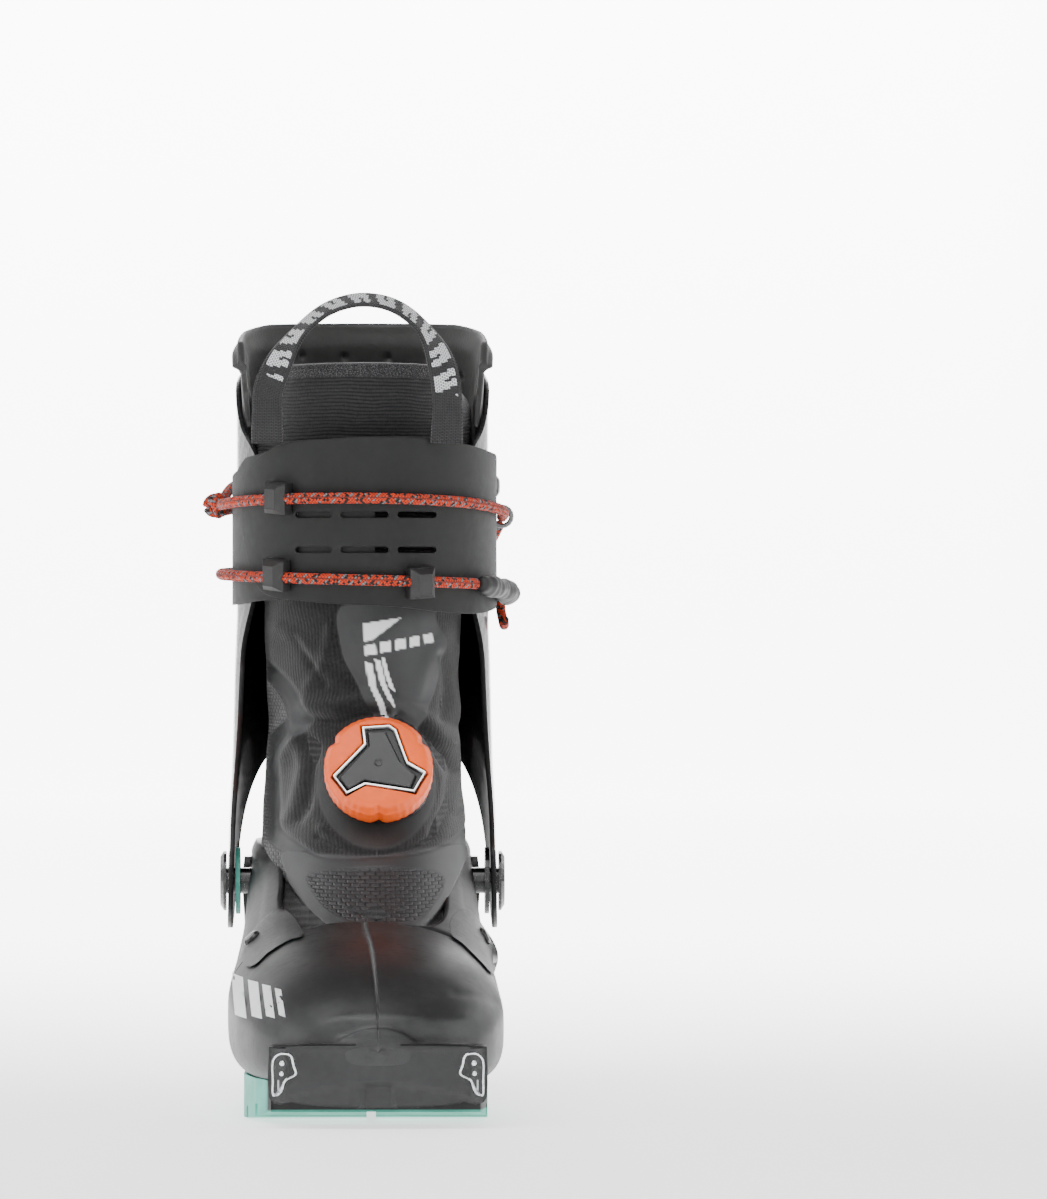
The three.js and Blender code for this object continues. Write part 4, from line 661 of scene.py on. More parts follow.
def webbing_look():
    """Woven black strap, white where its print mask is set."""
    m = Look("webbing")
    u, v, _ = m.axes(m.place("UV"))
    thread = cell(m, u, v, 1.6, 0.55)
    white = m.mask("print")
    fray = m.noise(m.place(), 1.6, 3, 0.7)
    colour = m.mix(m.ramp(m.add(white, m.times(m.minus(fray, 0.5), 0.25)), 0.42, 0.58),
                   (0.012, 0.012, 0.013), (0.72, 0.73, 0.75))
    # painted shade: the strap is darkened between its threads
    shaded = m.mix(m.ramp(thread, 0.0, 0.8), (0.006, 0.006, 0.007), colour)
    return m.done(Base_Color=shaded, Roughness=0.7, Normal=m.bump(thread, 0.22), Sheen_Weight=0.2,
                  Specular_IOR_Level=0.35)


WEBBING = webbing_look()


def gaiter_look():
    """Brushed stretch fabric: fleece, with rubber film, rubber mesh, grey panels and prints by mask."""
    m = Look("gaiter_cloth")
    p = m.place()
    u, v, _ = m.axes(m.place("UV"))
    fleece_noise = m.noise(p, 0.9, 5, 0.75)
    knit = m.sine(m.times(m.add(u, m.times(m.noise(p, 0.1, 2), 2.0)), 2 * math.pi / 1.5))
    # the knit term darkens the fleece a little in its troughs as painted shade; the rest is random tone
    fleece = m.mix(m.ramp(m.add(fleece_noise, m.times(knit, 0.06)), 0.32, 0.72), (0.0035, 0.0035, 0.004),
                   (0.0125, 0.0128, 0.013))
    film = m.mix(m.noise(p, 0.07, 3), (0.013, 0.0135, 0.0145), (0.019, 0.0195, 0.021))
    bars = cell(m, u, v, 3.1, 1.25)
    mesh = m.mix(bars, (0.003, 0.003, 0.0033), (0.022, 0.023, 0.025))
    panel = m.mix(m.noise(p, 0.08, 3), (0.019, 0.0195, 0.021), (0.027, 0.0275, 0.029))
    is_film, is_mesh, is_panel, is_window, white, seam = [m.mask(k)
            for k in ("film", "mesh", "panel", "window", "white", "seam")]
    colour = m.mix(is_film, fleece, film)
    colour = m.mix(is_mesh, colour, mesh)
    colour = m.mix(is_panel, colour, panel)
    colour = m.mix(is_window, colour, mesh)
    colour = m.mix(seam, colour, (0.05, 0.051, 0.054))
    colour = m.mix(white, colour, (0.70, 0.71, 0.73))
    smooth = m.larger(is_film, is_panel)
    height = m.mix(smooth, m.times(m.add(fleece_noise, m.times(knit, 0.12)), 0.8),
                   m.times(m.noise(p, 1.2, 2), 0.15))
    height = m.mix(m.larger(m.times(is_mesh, m.minus(1.0, is_panel)), is_window), height, bars)
    rough = m.mix(smooth, 0.92, 0.5)
    return m.done(Base_Color=colour, Roughness=rough, Normal=m.bump(height, 0.3),
                  Specular_IOR_Level=m.mix(smooth, 0.2, 0.45),
                  Sheen_Weight=m.minus(0.22, m.times(smooth, 0.2)), Sheen_Roughness=0.5)


GAITER = gaiter_look()


def window_look():
    """The heel frame: gloss black round smooth grey windows."""
    m = Look("heel_frame_look")
    p = m.place()
    win = m.mask("window")
    grain = m.noise(p, 2.2, 2)
    cloud = m.noise(p, 0.06, 3)
    colour = m.mix(win, (0.006, 0.006, 0.0065), m.mix(cloud, (0.016, 0.0165, 0.0175), (0.026, 0.0265, 0.028)))
    return m.done(Base_Color=colour, Roughness=m.mix(win, 0.3, 0.46), Normal=m.bump(grain, 0.03),
                  Coat_Weight=m.mix(win, 0.3, 0.0), Coat_Roughness=0.1)


FRAME_LOOK = window_look()


def liner_mesh_look():
    """The shaft of the liner: ribs in front, coarse black mesh behind and low."""
    m = Look("liner_shaft_look")
    p = m.place()
    z = m.axes(p)[2]
    u, v, _ = m.axes(m.place("UV"))
    ribs = m.sine(m.times(m.add(z, m.times(m.noise(p, 0.05, 2), 2.5)), 2 * math.pi / 1.25))
    thread = m.noise(m.scaled(p, 1.8, 1.8, 0.7), 1.0, 3, 0.7)
    # the knit darkens in its rib troughs as painted shade; the thread noise adds random tone
    knit = m.mix(m.ramp(m.add(m.times(ribs, 0.3), thread), 0.1, 0.95), (0.004, 0.004, 0.0045),
                 (0.020, 0.020, 0.021))
    low = m.below(z, 146.0)
    bars = cell(m, u, v, 2.6, 1.5)
    colour = m.mix(low, knit, m.mix(bars, (0.003, 0.003, 0.003), (0.022, 0.0225, 0.024)))
    binding = m.mask("binding")
    sparkle = m.ramp(m.noise(p, 2.6, 2, 0.9), 0.5, 0.72)
    colour = m.mix(binding, colour, m.mix(sparkle, (0.006, 0.006, 0.007), (0.13, 0.13, 0.135)))
    height = m.mix(binding, m.mix(low, m.add(m.times(ribs, 0.5), m.times(thread, 0.6)), bars),
                   m.times(sparkle, 0.8))
    return m.done(Base_Color=colour, Roughness=m.mix(binding, 0.9, 0.6), Normal=m.bump(height, 0.25),
                  Sheen_Weight=0.15, Specular_IOR_Level=0.25)


SHAFT = liner_mesh_look()


# ------------------------------------------------------------------ pieces: cuff body
def keep(o, body, node=None, slot=None):
    """Puts a piece on its body, in place of a CAD node if one is named."""
    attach(o, body)
    if node:
        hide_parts(*([node] if isinstance(node, str) else node))
    return o


CUFF_SIDE = spline([
    (-13, 66), (0, 60), (13, 65), (22, 82), (38, 104), (60, 123), (86, 131), (100, 150), (100, 240),
    (80, 268), (45, 266), (12, 256),
    (-16, 240), (-34, 228), (-40, 205), (-26, 179), (-15, 160), (-14, 135), (-15, 100), (-17, 82)], 400)


def arc_map(offset=0.0):
    """Arc length round the cuff in mm for turns from the back, at its mid height."""
    turns = np.linspace(-math.pi, math.pi, 721)
    z = np.full(721, 190.0)
    p = cuff_point(turns, z, offset)
    step = np.linalg.norm(np.diff(p, axis=0), axis=1)
    s = np.concatenate([[0], np.cumsum(step)])
    return turns, s - s[360]


ARC_T, ARC_S = arc_map()


def edge_turn(y, z):
    """Turn from the back at which the cuff's surface reaches y at height z, or 0 behind its back."""
    t = np.linspace(0, math.pi, 400)
    ys = cuff_point(t, np.full(400, z), 0.0)[:, 1]
    if y >= ys[0]:
        return 0.0
    k = np.argmax(ys < y) if (ys < y).any() else 399
    f = (ys[k - 1] - y) / max(1e-9, ys[k - 1] - ys[k])
    return t[k - 1] + f * (t[k] - t[k - 1])


def nearest(points, target):
    """Index of the point nearest to the target."""
    return int(np.argmin(np.linalg.norm(np.asarray(points) - target, axis=1)))


# the outline in (turn, z): from the arch at the back, down round the pivot, up the front edge, along the top
arch_at, top_at = nearest(CUFF_SIDE, (86, 131)), nearest(CUFF_SIDE, (80, 268))
run = [tuple(q) for q in CUFF_SIDE[arch_at::-1]] + [tuple(q) for q in CUFF_SIDE[:top_at - 1:-1]]
half = [(min(edge_turn(y, z), math.radians(142)), z) for y, z in run]
half = [q for q in half if q[0] > 0.06]
half = np.array([(0, half[0][1] + 0.1)] + half + [(0, half[-1][1] + 0.1)])
other = half[-2:0:-1] * [-1, 1]
cuff_outline = np.vstack([half, other])


cuff = trimmed("cuff_shell", lambda u, v: cuff_point(u, v, 1.8), cuff_outline, (0.045, 2.4), CARBON,
               back=lambda u, v: cuff_point(u, v, 0.0), bevel=0.35,
               masks={"edge": lambda v2, p: (edge_distance(v2 * [44, 1], cuff_outline * [44, 1],
                       (1, 1)) < 1.6).astype(float)})
uv_layer = cuff.data.uv_layers[0]
uvs = np.zeros(len(cuff.data.loops) * 2, np.float32)
uv_layer.data.foreach_get("uv", uvs)
uvs = uvs.reshape(-1, 2)
uvs = np.stack([np.interp(uvs[:, 0], ARC_T, ARC_S), uvs[:, 1]], -1)
uv_layer.data.foreach_set("uv", uvs.astype(np.float32).ravel())
keep(cuff, "cuff", "cuff")


def arch_turn(z):
    """Turn at which the heel arch cuts the cuff away, at a height."""
    return (0.0 if z > 131 else edge_turn(float(np.interp(z, [65, 82, 104, 123, 131],
            [13, 22, 38, 60, 86])), z) + 0.04)


def decal(name, outline_xz, material, offset=1.9):
    """A thin print on the cuff inside an outline of (x, z) seen from behind."""
    def turn_of(x, z):
        a = np.arcsin(np.clip(np.abs(x) / (cuff_half(z) + offset), 0, 1) ** (1 / 0.9)) * np.sign(x)
        return np.sign(a) * max(abs(a), arch_turn(z))
    o = np.array([(float(turn_of(np.float64(x), np.float64(z))), z) for x, z in outline_xz])
    return keep(trimmed(name, lambda u, v: cuff_point(u, v, offset), o, (0.03, 1.5), material), "cuff")


def dense(points, step=2.0):
    """A closed outline with more points along its straight sides."""
    out = []
    for a, b in zip(points, points[1:] + points[:1]):
        a, b = np.array(a, float), np.array(b, float)
        n = max(1, int(np.linalg.norm(b - a) / step))
        out += [tuple(a + (b - a) * k / n) for k in range(n)]
    return out


decal("decal_teal", dense([(-18, 165), (-32.5, 164), (-37, 151.5), (-41, 129), (-42.6, 106), (-32, 134)]),
      TEAL_PRINT)
decal("decal_orange", dense([(-32, 131), (-32, 117), (-43.4, 88), (-43, 102)]), ORANGE_PRINT)
decal("decal_line", dense([(-32.2, 133.2), (-32, 131.2), (-42.9, 102.6), (-42.8, 105)], 1.0), WHITE_PRINT,
      1.92)
for k, (x, z, w, h) in enumerate([(-27.5, 160, 3.4, 2.2), (-31, 153, 3.6, 3.6), (-34, 145.5, 3.2, 3.2),
                                  (-36.6, 137, 2.8, 3.4)]):
    decal(f"decal_mark_{k}", dense([(x - w / 2, z + h / 2), (x + w / 2, z + h / 2 - 1),
                                    (x + w / 2, z - h / 2 - 1), (x - w / 2, z - h / 2)], 1), WHITE_PRINT,
                                    1.93)


# The collar spoiler: a soft rim round the back of the cuff's top, with small dimples inside.


def spoiler_top(turn):
    """Height of the spoiler's rim round the cuff."""
    y = cuff_point(turn, np.full_like(turn, 262.0), 0)[:, 1]
    ys = np.array([-15, -12, 4, 22, 40, 58, 76, 90], float)
    zs = np.array([240, 252, 269, 273.5, 276.5, 277.6, 277.6, 277.0], float)
    return np.interp(y, ys, zs)


def spoiler_low(turn):
    """Height of the spoiler's lower edge round the cuff."""
    y = cuff_point(turn, np.full_like(turn, 250.0), 0)[:, 1]
    return np.interp(y, [-15, -12, 20, 90], [236, 226.5, 223, 225])


n_turn, n_up = 260, 60
front_turn = max(edge_turn(-13.5, 240), edge_turn(-14, 236))
turns = np.linspace(-front_turn, front_turn, n_turn)
tops, lows = spoiler_top(turns), spoiler_low(turns)


def spoiler_surface(inner):
    """One face of the spoiler in rows going up, dimpled inside and proud of the carbon outside."""
    rows = []
    for k in range(n_up):
        s = k / (n_up - 1)
        z = lows + (tops - lows) * s
        if inner:
            off = np.full(n_turn, -3.5) + 1.3 * smooth_step(0.86, 1.0, s)
            # dimples
            p = cuff_point(turns, z, off)
            dimple = np.zeros(n_turn)
            for dx, dz in [(-22, 267), (-6.6, 266.7), (9.3, 266.3), (24, 266.3), (31.7, 262.5),
                           (-14.5, 262.2), (1.2, 261.8), (16.6, 262.2), (-37, 260), (-30, 262.4),
                           (35.5, 259)]:
                d = np.hypot(p[:, 0] - dx, z - dz)
                dimple = np.maximum(dimple, np.clip(1 - d / 1.5, 0, 1) ** 0.6)
            off = off + 1.5 * dimple * (p[:, 1] > 20)
        else:
            # under the carbon low down, proud of it above its edge
            cover = 267.8 - 0.012 * (np.abs(cuff_point(turns, z, 0)[:, 0]) ** 1.7)
            proud = smooth_step(0, 1.6, z - cover)
            off = -0.3 + 2.9 * proud - 2.0 * smooth_step(0.90, 1.0, s) ** 2
        rows.append(cuff_point(turns, z, off))
    return np.array(rows)


inner, outer = spoiler_surface(True), spoiler_surface(False)
lip = []
for k in range(1, 8):
    a = k / 8 * math.pi
    mid = (inner[-1] + outer[-1]) / 2
    d = (outer[-1] - inner[-1]) / 2
    lip.append(mid + d * math.cos(a) + np.array([0, 0, 1.7 * math.sin(a)]))
loop = np.concatenate([outer, np.array(lip), inner[::-1]])
# the bottom joins inner back to outer, and the ends pinch shut
pinch = np.minimum(1, np.minimum(np.arange(n_turn), n_turn - 1 - np.arange(n_turn)) / 5.0)
mid_line = (loop + np.concatenate([inner, np.array(lip), outer[::-1]])) / 2
loop = mid_line + (loop - mid_line) * np.maximum(0.06, pinch ** 0.5)[None, :, None]
pts3 = loop.transpose(1, 0, 2)  # turns by loop
spoiler = grid("spoiler_foam", pts3, FOAM, wrap=True)
modifier(spoiler, "WEIGHTED_NORMAL")
keep(spoiler, "cuff", "spoiler")


# The bright line where the carbon's top edge meets the spoiler; the dark edge round the cuff is painted by
# the carbon's edge mask.
line = [cuff_point(np.float64(t), np.float64(z), 1.95) for t, z in cuff_outline if z > 253 and abs(t) < 1.05]
line = sorted(line, key=lambda q: q[0])
keep(tube("cuff_top_line", line, 0.42, CHROME, 8, 1.5), "cuff")


# ------------------------------------------------------------------ front flaps
def front_turn_of(x, z, offset):
    """Turn of the cuff's front at x, seen from the front."""
    a = np.arcsin(np.clip(np.abs(x) / (cuff_half(z) + offset), 0, 1) ** (1 / 0.9)) * np.sign(x)
    return math.pi - a


FLAP_OUT = spline([(-42, 197), (-43, 210), (-40, 225), (-29, 232.5), (-12, 234.5), (20, 235), (43, 231.5),
                   (54, 226), (54, 182),
                   (46, 174), (10, 175.6), (-20, 177.4), (-36, 181)], 300)


def flap_uv(points_xz, offset):
    """Points (x, z) seen from the front to (turn, z), which goes on round the side past the widest place."""
    out = []
    for x, z in points_xz:
        reach = float(cuff_half(z)) + offset
        if abs(x) < reach * 0.985:
            out.append((float(front_turn_of(np.float64(x), np.float64(z), offset)), z))
        elif x > 0:
            over = x - reach * 0.985
            out.append((float(front_turn_of(np.float64(reach * 0.985), np.float64(z), offset))
                        - over / 32.0, z))
        else:
            out.append((float(front_turn_of(np.float64(-reach * 0.985), np.float64(z), offset))
                        + (-x - reach * 0.985) / 32.0, z))
    return np.array(out)


def slot_hole(x0, x1, z, offset):
    """The outline of a slot with round ends."""
    r = 1.05
    ring = [(x0 + r + r * math.cos(a), z + r * math.sin(a))
            for a in np.linspace(math.pi / 2, 1.5 * math.pi, 8)]
    mid = [(x0 + r + (x1 - x0 - 2 * r) * k / 8, z - r) for k in range(1, 8)]
    ring2 = [(x1 - r + r * math.cos(a), z + r * math.sin(a))
             for a in np.linspace(-math.pi / 2, math.pi / 2, 8)]
    mid2 = [(x1 - r - (x1 - x0 - 2 * r) * k / 8, z + r) for k in range(1, 8)]
    return flap_uv(ring + mid + ring2 + mid2, offset)


slots = [slot_hole(x0, x1, z, 4.9) for z in (207.9, 195.5) for x0,
         x1 in ((-23.7, -11), (-7.7, 9.2), (12.3, 26.1))]


def flap_surface(u, v):
    ripple = 0.25 * np.sin(v * 0.09 + u * 3.0) + 0.2 * np.sin(u * 7.0)
    return cuff_point(u, v, 4.9 + ripple * 0.4)


flap = trimmed("flap_top", flap_surface, flap_uv(FLAP_OUT, 4.9), (0.04, 2.2), FLAP, holes=slots,
               back=lambda u, v: cuff_point(u, v, 3.75), bevel=0.25)
keep(flap, "cuff", "flap_front")

under_out = np.array([(math.radians(176), 178.5), (math.radians(176), 231), (math.radians(200), 231),
                      (math.radians(225), 230), (math.radians(241), 228.4),
                      (math.radians(252), 224), (math.radians(268), 222), (math.radians(268), 176),
                      (math.radians(252), 176.3),
                      (math.radians(230), 177.5), (math.radians(200), 178.5)])
ring = []
for a, b in zip(under_out, np.roll(under_out, -1, 0)):
    n = max(2, int(np.hypot((b[0] - a[0]) * 44, b[1] - a[1]) / 2.2))
    ring += [a + (b - a) * k / n for k in range(n)]
flap2 = trimmed("flap_below", lambda u, v: cuff_point(u, v, 3.35), np.array(ring), (0.045, 2.4), FLAP,
                back=lambda u, v: cuff_point(u, v, 2.2), bevel=0.25)
keep(flap2, "cuff", "flap_under")


# ------------------------------------------------------------------ liner shaft and pull loop
LINER_LOW = 128.0


def liner_top(x):
    """Height of the liner's rim, which drops at both sides of the shin."""
    ax = np.abs(x)
    return np.where(ax < 27, 260 - 0.0006 * ax ** 2, 260 - 15.5 * smooth_step(26, 43, ax))


def liner_points(offset, nu=240, nv=100):
    """From low on the leg up to the rim; turn goes right round."""
    t = np.linspace(-math.pi, math.pi, nu, endpoint=False)
    rows = []
    for k in range(nv):
        s = k / (nv - 1)
        rim_x = leg_point(t, np.full(nu, 252.0), offset)[:, 0]
        high = np.where(np.cos(t) > 0.15, np.minimum(liner_top(rim_x), 246), liner_top(rim_x))
        z = LINER_LOW + (high - LINER_LOW) * s
        # gentle folds and a swelling either side of the pull loop
        fold = 0.35 * np.sin(z * 0.11 + 1.7 * np.sin(t * 2)) + 0.45 * np.sin(t * 5 + z * 0.05)
        front = np.clip(-np.cos(t), 0, 1)
        dip = -1.2 * np.exp(-((z - 236) / 9) ** 2) * front
        rows.append(leg_point(t, z, offset - 0.5 + 0.55 * fold + dip))
    return np.array(rows)


def clear_of_dial(p):
    """Holds the front of the shaft back below the flaps, where the dial comes when the cuff leans forward."""
    limit = -12.5 - 60 * smooth_step(164, 177, p[..., 2])
    y = p[..., 1]
    return np.stack([p[..., 0], np.where(y < limit, limit - 0.06 * (limit - y), y), p[..., 2]], -1)


outer = clear_of_dial(liner_points(-2.1))
inner = clear_of_dial(liner_points(-6.6))
rim = []
for k in range(1, 6):
    a = k / 6 * math.pi
    mid, d = (outer[-1] + inner[-1]) / 2, (outer[-1] - inner[-1]) / 2
    rim.append(mid + d * math.cos(a) + np.array([0, 0, 1.5 * math.sin(a)]))
low_rim = [(outer[0] * (1 - f) + inner[0] * f) for f in (0.33, 0.66)]
body = np.concatenate([outer, np.array(rim), inner[::-1], np.array(low_rim[::-1])])
nu, nt = body.shape[:2]
level = np.concatenate([np.linspace(0, 1, 100), np.ones(5), np.linspace(1, 0, 100), [0, 0]])
reach = np.repeat(level[:, None], nt, 1)
binding = ((reach > 0.972) & (np.abs(body[..., 0]) < 47)).astype(float)
arc = np.arange(nt) / nt * 232.0
uv = np.stack([np.repeat(arc[None], nu, 0), body[..., 2]], -1).reshape(-1, 2)
faces = (grid_faces(nu, nt, True) + [((nu - 1) * nt + j, j, (j + 1) % nt, (nu - 1) * nt + (j + 1) % nt)
                                     for j in range(nt)])
liner = add_mesh("liner_shaft_soft", body.reshape(-1, 3), faces, SHAFT, uv=uv,
                 masks={"binding": binding.ravel()})
keep(liner, "cuff", "liner_shaft")


def ribbon(name, path, across, width, thick, material, body, masks=None, node=None):
    """A flat strap along a path, with its width along the given directions."""
    p, w = np.asarray(path, float), np.asarray(across, float)
    t = np.gradient(p, axis=0)
    t /= np.linalg.norm(t, axis=1, keepdims=True)
    w = w - t * (w * t).sum(1, keepdims=True)
    w /= np.linalg.norm(w, axis=1, keepdims=True)
    n = np.cross(t, w)
    length = np.concatenate([[0], np.cumsum(np.linalg.norm(np.diff(p, axis=0), axis=1))])
    width = np.broadcast_to(np.asarray(width, float), (len(p),))
    across_steps = np.linspace(-1, 1, 13)
    section = ([(s, 1) for s in across_steps] + [(1.0, 0.0)] + [(s, -1) for s in across_steps[::-1]]
               + [(-1.0, 0.0)])
    rows, uvs = [], []
    for s, side in section:
        edge = 1 - abs(s) ** 8 * 0.55
        rows.append(p + w * (s * width / 2)[:, None] + n * side * thick / 2 * edge)
        uvs.append(np.stack([s * width / 2, length], -1))
    pts = np.array(rows).transpose(1, 0, 2)
    uv = np.array(uvs).transpose(1, 0, 2)
    values = {k: f(length[:, None] * np.ones(len(section)),
                   np.array([s for s, _ in section])[None] * np.ones((len(p), 1)),
                   np.array([sd for _, sd in section])[None] * np.ones((len(p), 1))).ravel()
              for k, f in (masks or {}).items()}
    faces = grid_faces(len(p), len(section), True)
    m = len(section)
    faces += [tuple(range(m))[::-1], tuple(range((len(p) - 1) * m, len(p) * m))]
    o = add_mesh(name, pts.reshape(-1, 3), faces, material, uv=uv.reshape(-1, 2), masks=values)
    return keep(o, body, node)


def spline3(points, n):
    """n points on a smooth line through points in space, evenly spaced by chord length."""
    p = np.asarray(points, float)
    d = np.concatenate([[0], np.cumsum(np.linalg.norm(np.diff(p, axis=0), axis=1))])
    s = np.linspace(0, d[-1], n)
    out = []
    for axis in range(p.shape[1]):
        out.append(through_smooth(d, p[:, axis], s))
    return np.stack(out, -1)


def through_smooth(x, y, s):
    """Natural-looking cubic through points (Catmull-Rom slopes)."""
    m = np.gradient(y, x)
    i = np.clip(np.searchsorted(x, s) - 1, 0, len(x) - 2)
    w = x[i + 1] - x[i]
    t = (s - x[i]) / w
    return ((2 * t ** 3 - 3 * t ** 2 + 1) * y[i] + (3 * t ** 2 - 2 * t ** 3) * y[i + 1]
            + (t ** 3 - 2 * t ** 2 + t) * w * m[i] + (t ** 3 - t ** 2) * w * m[i + 1])


loop_path = [(-33.5, -59.5, 233), (-33.6, -61.4, 243), (-33.3, -62, 251), (-30.5, -61.5, 259),
             (-26.5, -60.2, 266.5), (-20.5, -59, 274), (-12, -58, 280.5), (0, -57.5, 283.6),
             (11, -58, 281.5), (19.5, -59, 275.5), (25.2, -60.2, 267.5), (28.3, -61.5, 259),
             (29.6, -62, 251), (29.8, -61.4, 243), (29.6, -59.5, 233)]
# the strap turns smoothly from facing the front, up its legs, to facing up over the arch
path = spline3(loop_path, 160)
f = np.linspace(0, 1, 160)
arch_part = smooth_step(0.14, 0.34, f) * (1 - smooth_step(0.66, 0.86, f))
tangent = np.gradient(path, axis=0)
tangent /= np.linalg.norm(tangent, axis=1, keepdims=True)
flat_way = np.cross(tangent, [0, 1.0, 0])
out_way = path - np.array([-2.0, 0, 250.0])
out_way[:, 1] = 0
out_way /= np.linalg.norm(out_way, axis=1, keepdims=True)
deep_way = np.array([0, 0.86, 0.0]) + 0.5 * out_way
across = flat_way * (1 - arch_part)[:, None] + deep_way * arch_part[:, None]
width = 10.5 - 1.2 * arch_part + 1.0 * (1 - smooth_step(0, 0.1, np.minimum(f, 1 - f)))


def loop_print(length, s, side):
    """The strap's print: broken slanted blocks on the outer face."""
    total = length.max()
    q = length / total
    inside_arch = (q > 0.17) & (q < 0.88)
    # uneven slanted blocks, like generic printed dashes
    k = (length + s * 1.6) / 9.2
    block = (np.mod(k, 1.0) < 0.66) & (np.abs(s) < 0.72)
    gap2 = ((np.mod(k, 1.0) > 0.28) & (np.mod(k, 1.0) < 0.40)
            & (s * np.where(np.mod(np.floor(k), 2) < 1, 1, -1) > -0.15))
    return (inside_arch & block & ~gap2 & (side > 0)).astype(float)


ribbon("pull_strap", path, across, width, 1.7, WEBBING, "cuff", masks={"print": loop_print}, node="pull_loop")


# ------------------------------------------------------------------ cords on the flaps
def ring_path(a, b, heights, offset=7.35, n=40):
    """A path round the cuff from turn a to turn b in degrees."""
    return np.array([cuff_point(math.radians(a) + (math.radians(b) - math.radians(a)) * t, heights(t),
                                offset) for t in np.linspace(0, 1, n)])


def braid_bumps(length, turn):
    """The relief of crossing yarns on a cord."""
    return 0.035 * np.sin(8 * turn + length * 5.6) * np.sin(8 * turn - length * 5.6)


def cord(name, path, node, body="cuff", radius=1.95):
    """A braided cord along a path, in place of a CAD node."""
    o = tube(name, path, radius, BRAID, 24, 0.35, wobble=braid_bumps)
    return keep(o, body, node)


up_path = ring_path(262, 82, lambda t: 212 + 2 * math.sin(math.pi * t) - 4 * t ** 3)
low_path = ring_path(309, 130, lambda t: 188.2 - 4.6 * t)
cord("cord_upper_braid", up_path, "cord_front_upper")
cord("cord_lower_braid", low_path, "cord_front_lower")


# ------------------------------------------------------------------ lower shell
def shell_sheet():
    """From the collar on one side, under the foot, to the collar on the other, along the foot."""
    ys = np.concatenate([np.linspace(-0.985 * TOE, -0.9 * TOE, 24)[:-1],
                         np.linspace(-0.9 * TOE, 0.9 * HEEL, 170)[:-1],
                         np.linspace(0.9 * HEEL, 0.925 * HEEL, 6)])
    n = 150
    rows = []
    for y in ys:
        a = np.linspace(-math.pi / 2, 1.5 * math.pi, 721)
        ring = foot_point(y, a, 0.0)
        top = float(foot_top(y))
        limit = float(collar_line(y)) if y > -0.60 * TOE else 400.0
        z = ring[:, 2]
        # angle at which the ring meets the collar on each side
        if limit < top - 0.5:
            right = np.interp(limit, z[:361], a[:361])
            left = math.pi - right
            # run from the medial collar down round the bottom to the lateral collar
            fine = np.linspace(right, left - 2 * math.pi, 600)
        else:
            fine = np.linspace(math.pi / 2, math.pi / 2 - 2 * math.pi, 600)
        ring = foot_point(y, fine, 0.0)
        s = np.concatenate([[0], np.cumsum(np.linalg.norm(np.diff(ring, axis=0), axis=1))])
        q = np.linspace(0, s[-1], n)
        ring = np.stack([np.interp(q, s, ring[:, i]) for i in range(3)], -1)
        rows.append(ring)
    return np.array(rows)


shell = shell_sheet()
# round off the toe's nose with shrinking rings
nose = []
first = shell[0]
mid = np.array([5.2, first[0, 1], 26.0])
for k in range(6, 0, -1):
    f = math.cos(k / 6 * math.pi / 2)
    nose.append(mid + (first - mid) * f + np.array([0, -2.2 * math.sin(k / 6 * math.pi / 2), 0]))
shell = np.concatenate([np.array(nose), shell])
normals = grid_normals(shell)
x, y, z = shell[..., 0], shell[..., 1], shell[..., 2]
if (normals[40, 40] @ (shell[40, 40] - [0, -60, 40])) < 0:
    normals = -normals
relief = np.zeros_like(x)
# seam down the middle of the toe, the recessed groove above the toe block, and creases
relief -= 0.16 * np.exp(-((x - 5.4) / 0.7) ** 2) * smooth_step(-128, -140, y) * (z > 40)
relief -= (0.9 * np.exp(-((z - 31.4) / 2.2) ** 2) * smooth_step(-150, -165, y) * smooth_step(-9, -4, x)
           * smooth_step(40, 34, x))
relief += (0.5 * np.exp(-((z - 36.5) / 2.0) ** 2) * smooth_step(-150, -165, y) * smooth_step(-12, -4, x)
           * smooth_step(42, 34, x))
crease = np.abs(z - (41 - 0.22 * (y + 150)))
relief -= 0.45 * np.exp(-(crease / 1.6) ** 2) * smooth_step(-30, -40, -np.abs(y + 110)) * (np.abs(x) > 30)
# soft moulding waves along the sides of the foot and round the ankle
relief += 0.5 * np.sin(y * 0.055 + 1.0) * np.sin(z * 0.07) * smooth_step(-120, -60, y)
# a raised band along the collar's edge
edge_gap = np.where(y > -0.6 * TOE, collar_line(y) - z, 99)
relief += 0.7 * smooth_step(5.5, 4.2, edge_gap) * smooth_step(-2, 0.5, edge_gap)
shell = shell + normals * relief[..., None]
shell_o = grid("shell_skin", shell, SHELL)
if np.array(shell_o.data.polygons[4000].normal) @ (shell[40, 40] - [0, -60, 40]) < 0:
    shell_o.data.flip_normals()
modifier(shell_o, "SOLIDIFY", thickness=0.0024, offset=-1.0, use_rim=True)
keep(shell_o, "shell", "lower_shell")


def on_shell(x, z, lift=0.0):
    """A point of the shell seen from the front at (x, z): found along the view by a search over y."""
    ys = np.linspace(-0.985 * TOE, 20, 900)
    reach, mid, low, high = foot_reach(ys, z, lift)
    ok = (np.abs(x - mid) <= reach) & (z <= high) & (z >= low)
    if not ok.any():
        ok[np.argmin(np.abs(x - mid) - reach + 100 * ((z > high) | (z < low)))] = True
    k = int(np.argmax(ok))
    return np.array([x, ys[k], z])


def shell_print(name, outline_xz, material, lift=0.12):
    """A thin print on the shell inside an outline of (x, z) seen from the front."""
    outline = np.array(dense(outline_xz, 1.0))

    def surface(u, v):
        return np.array([on_shell(a, b, lift) for a, b in zip(u, v)])
    o = trimmed(name, surface, outline, (1.0, 1.0), material)
    return keep(o, "shell")


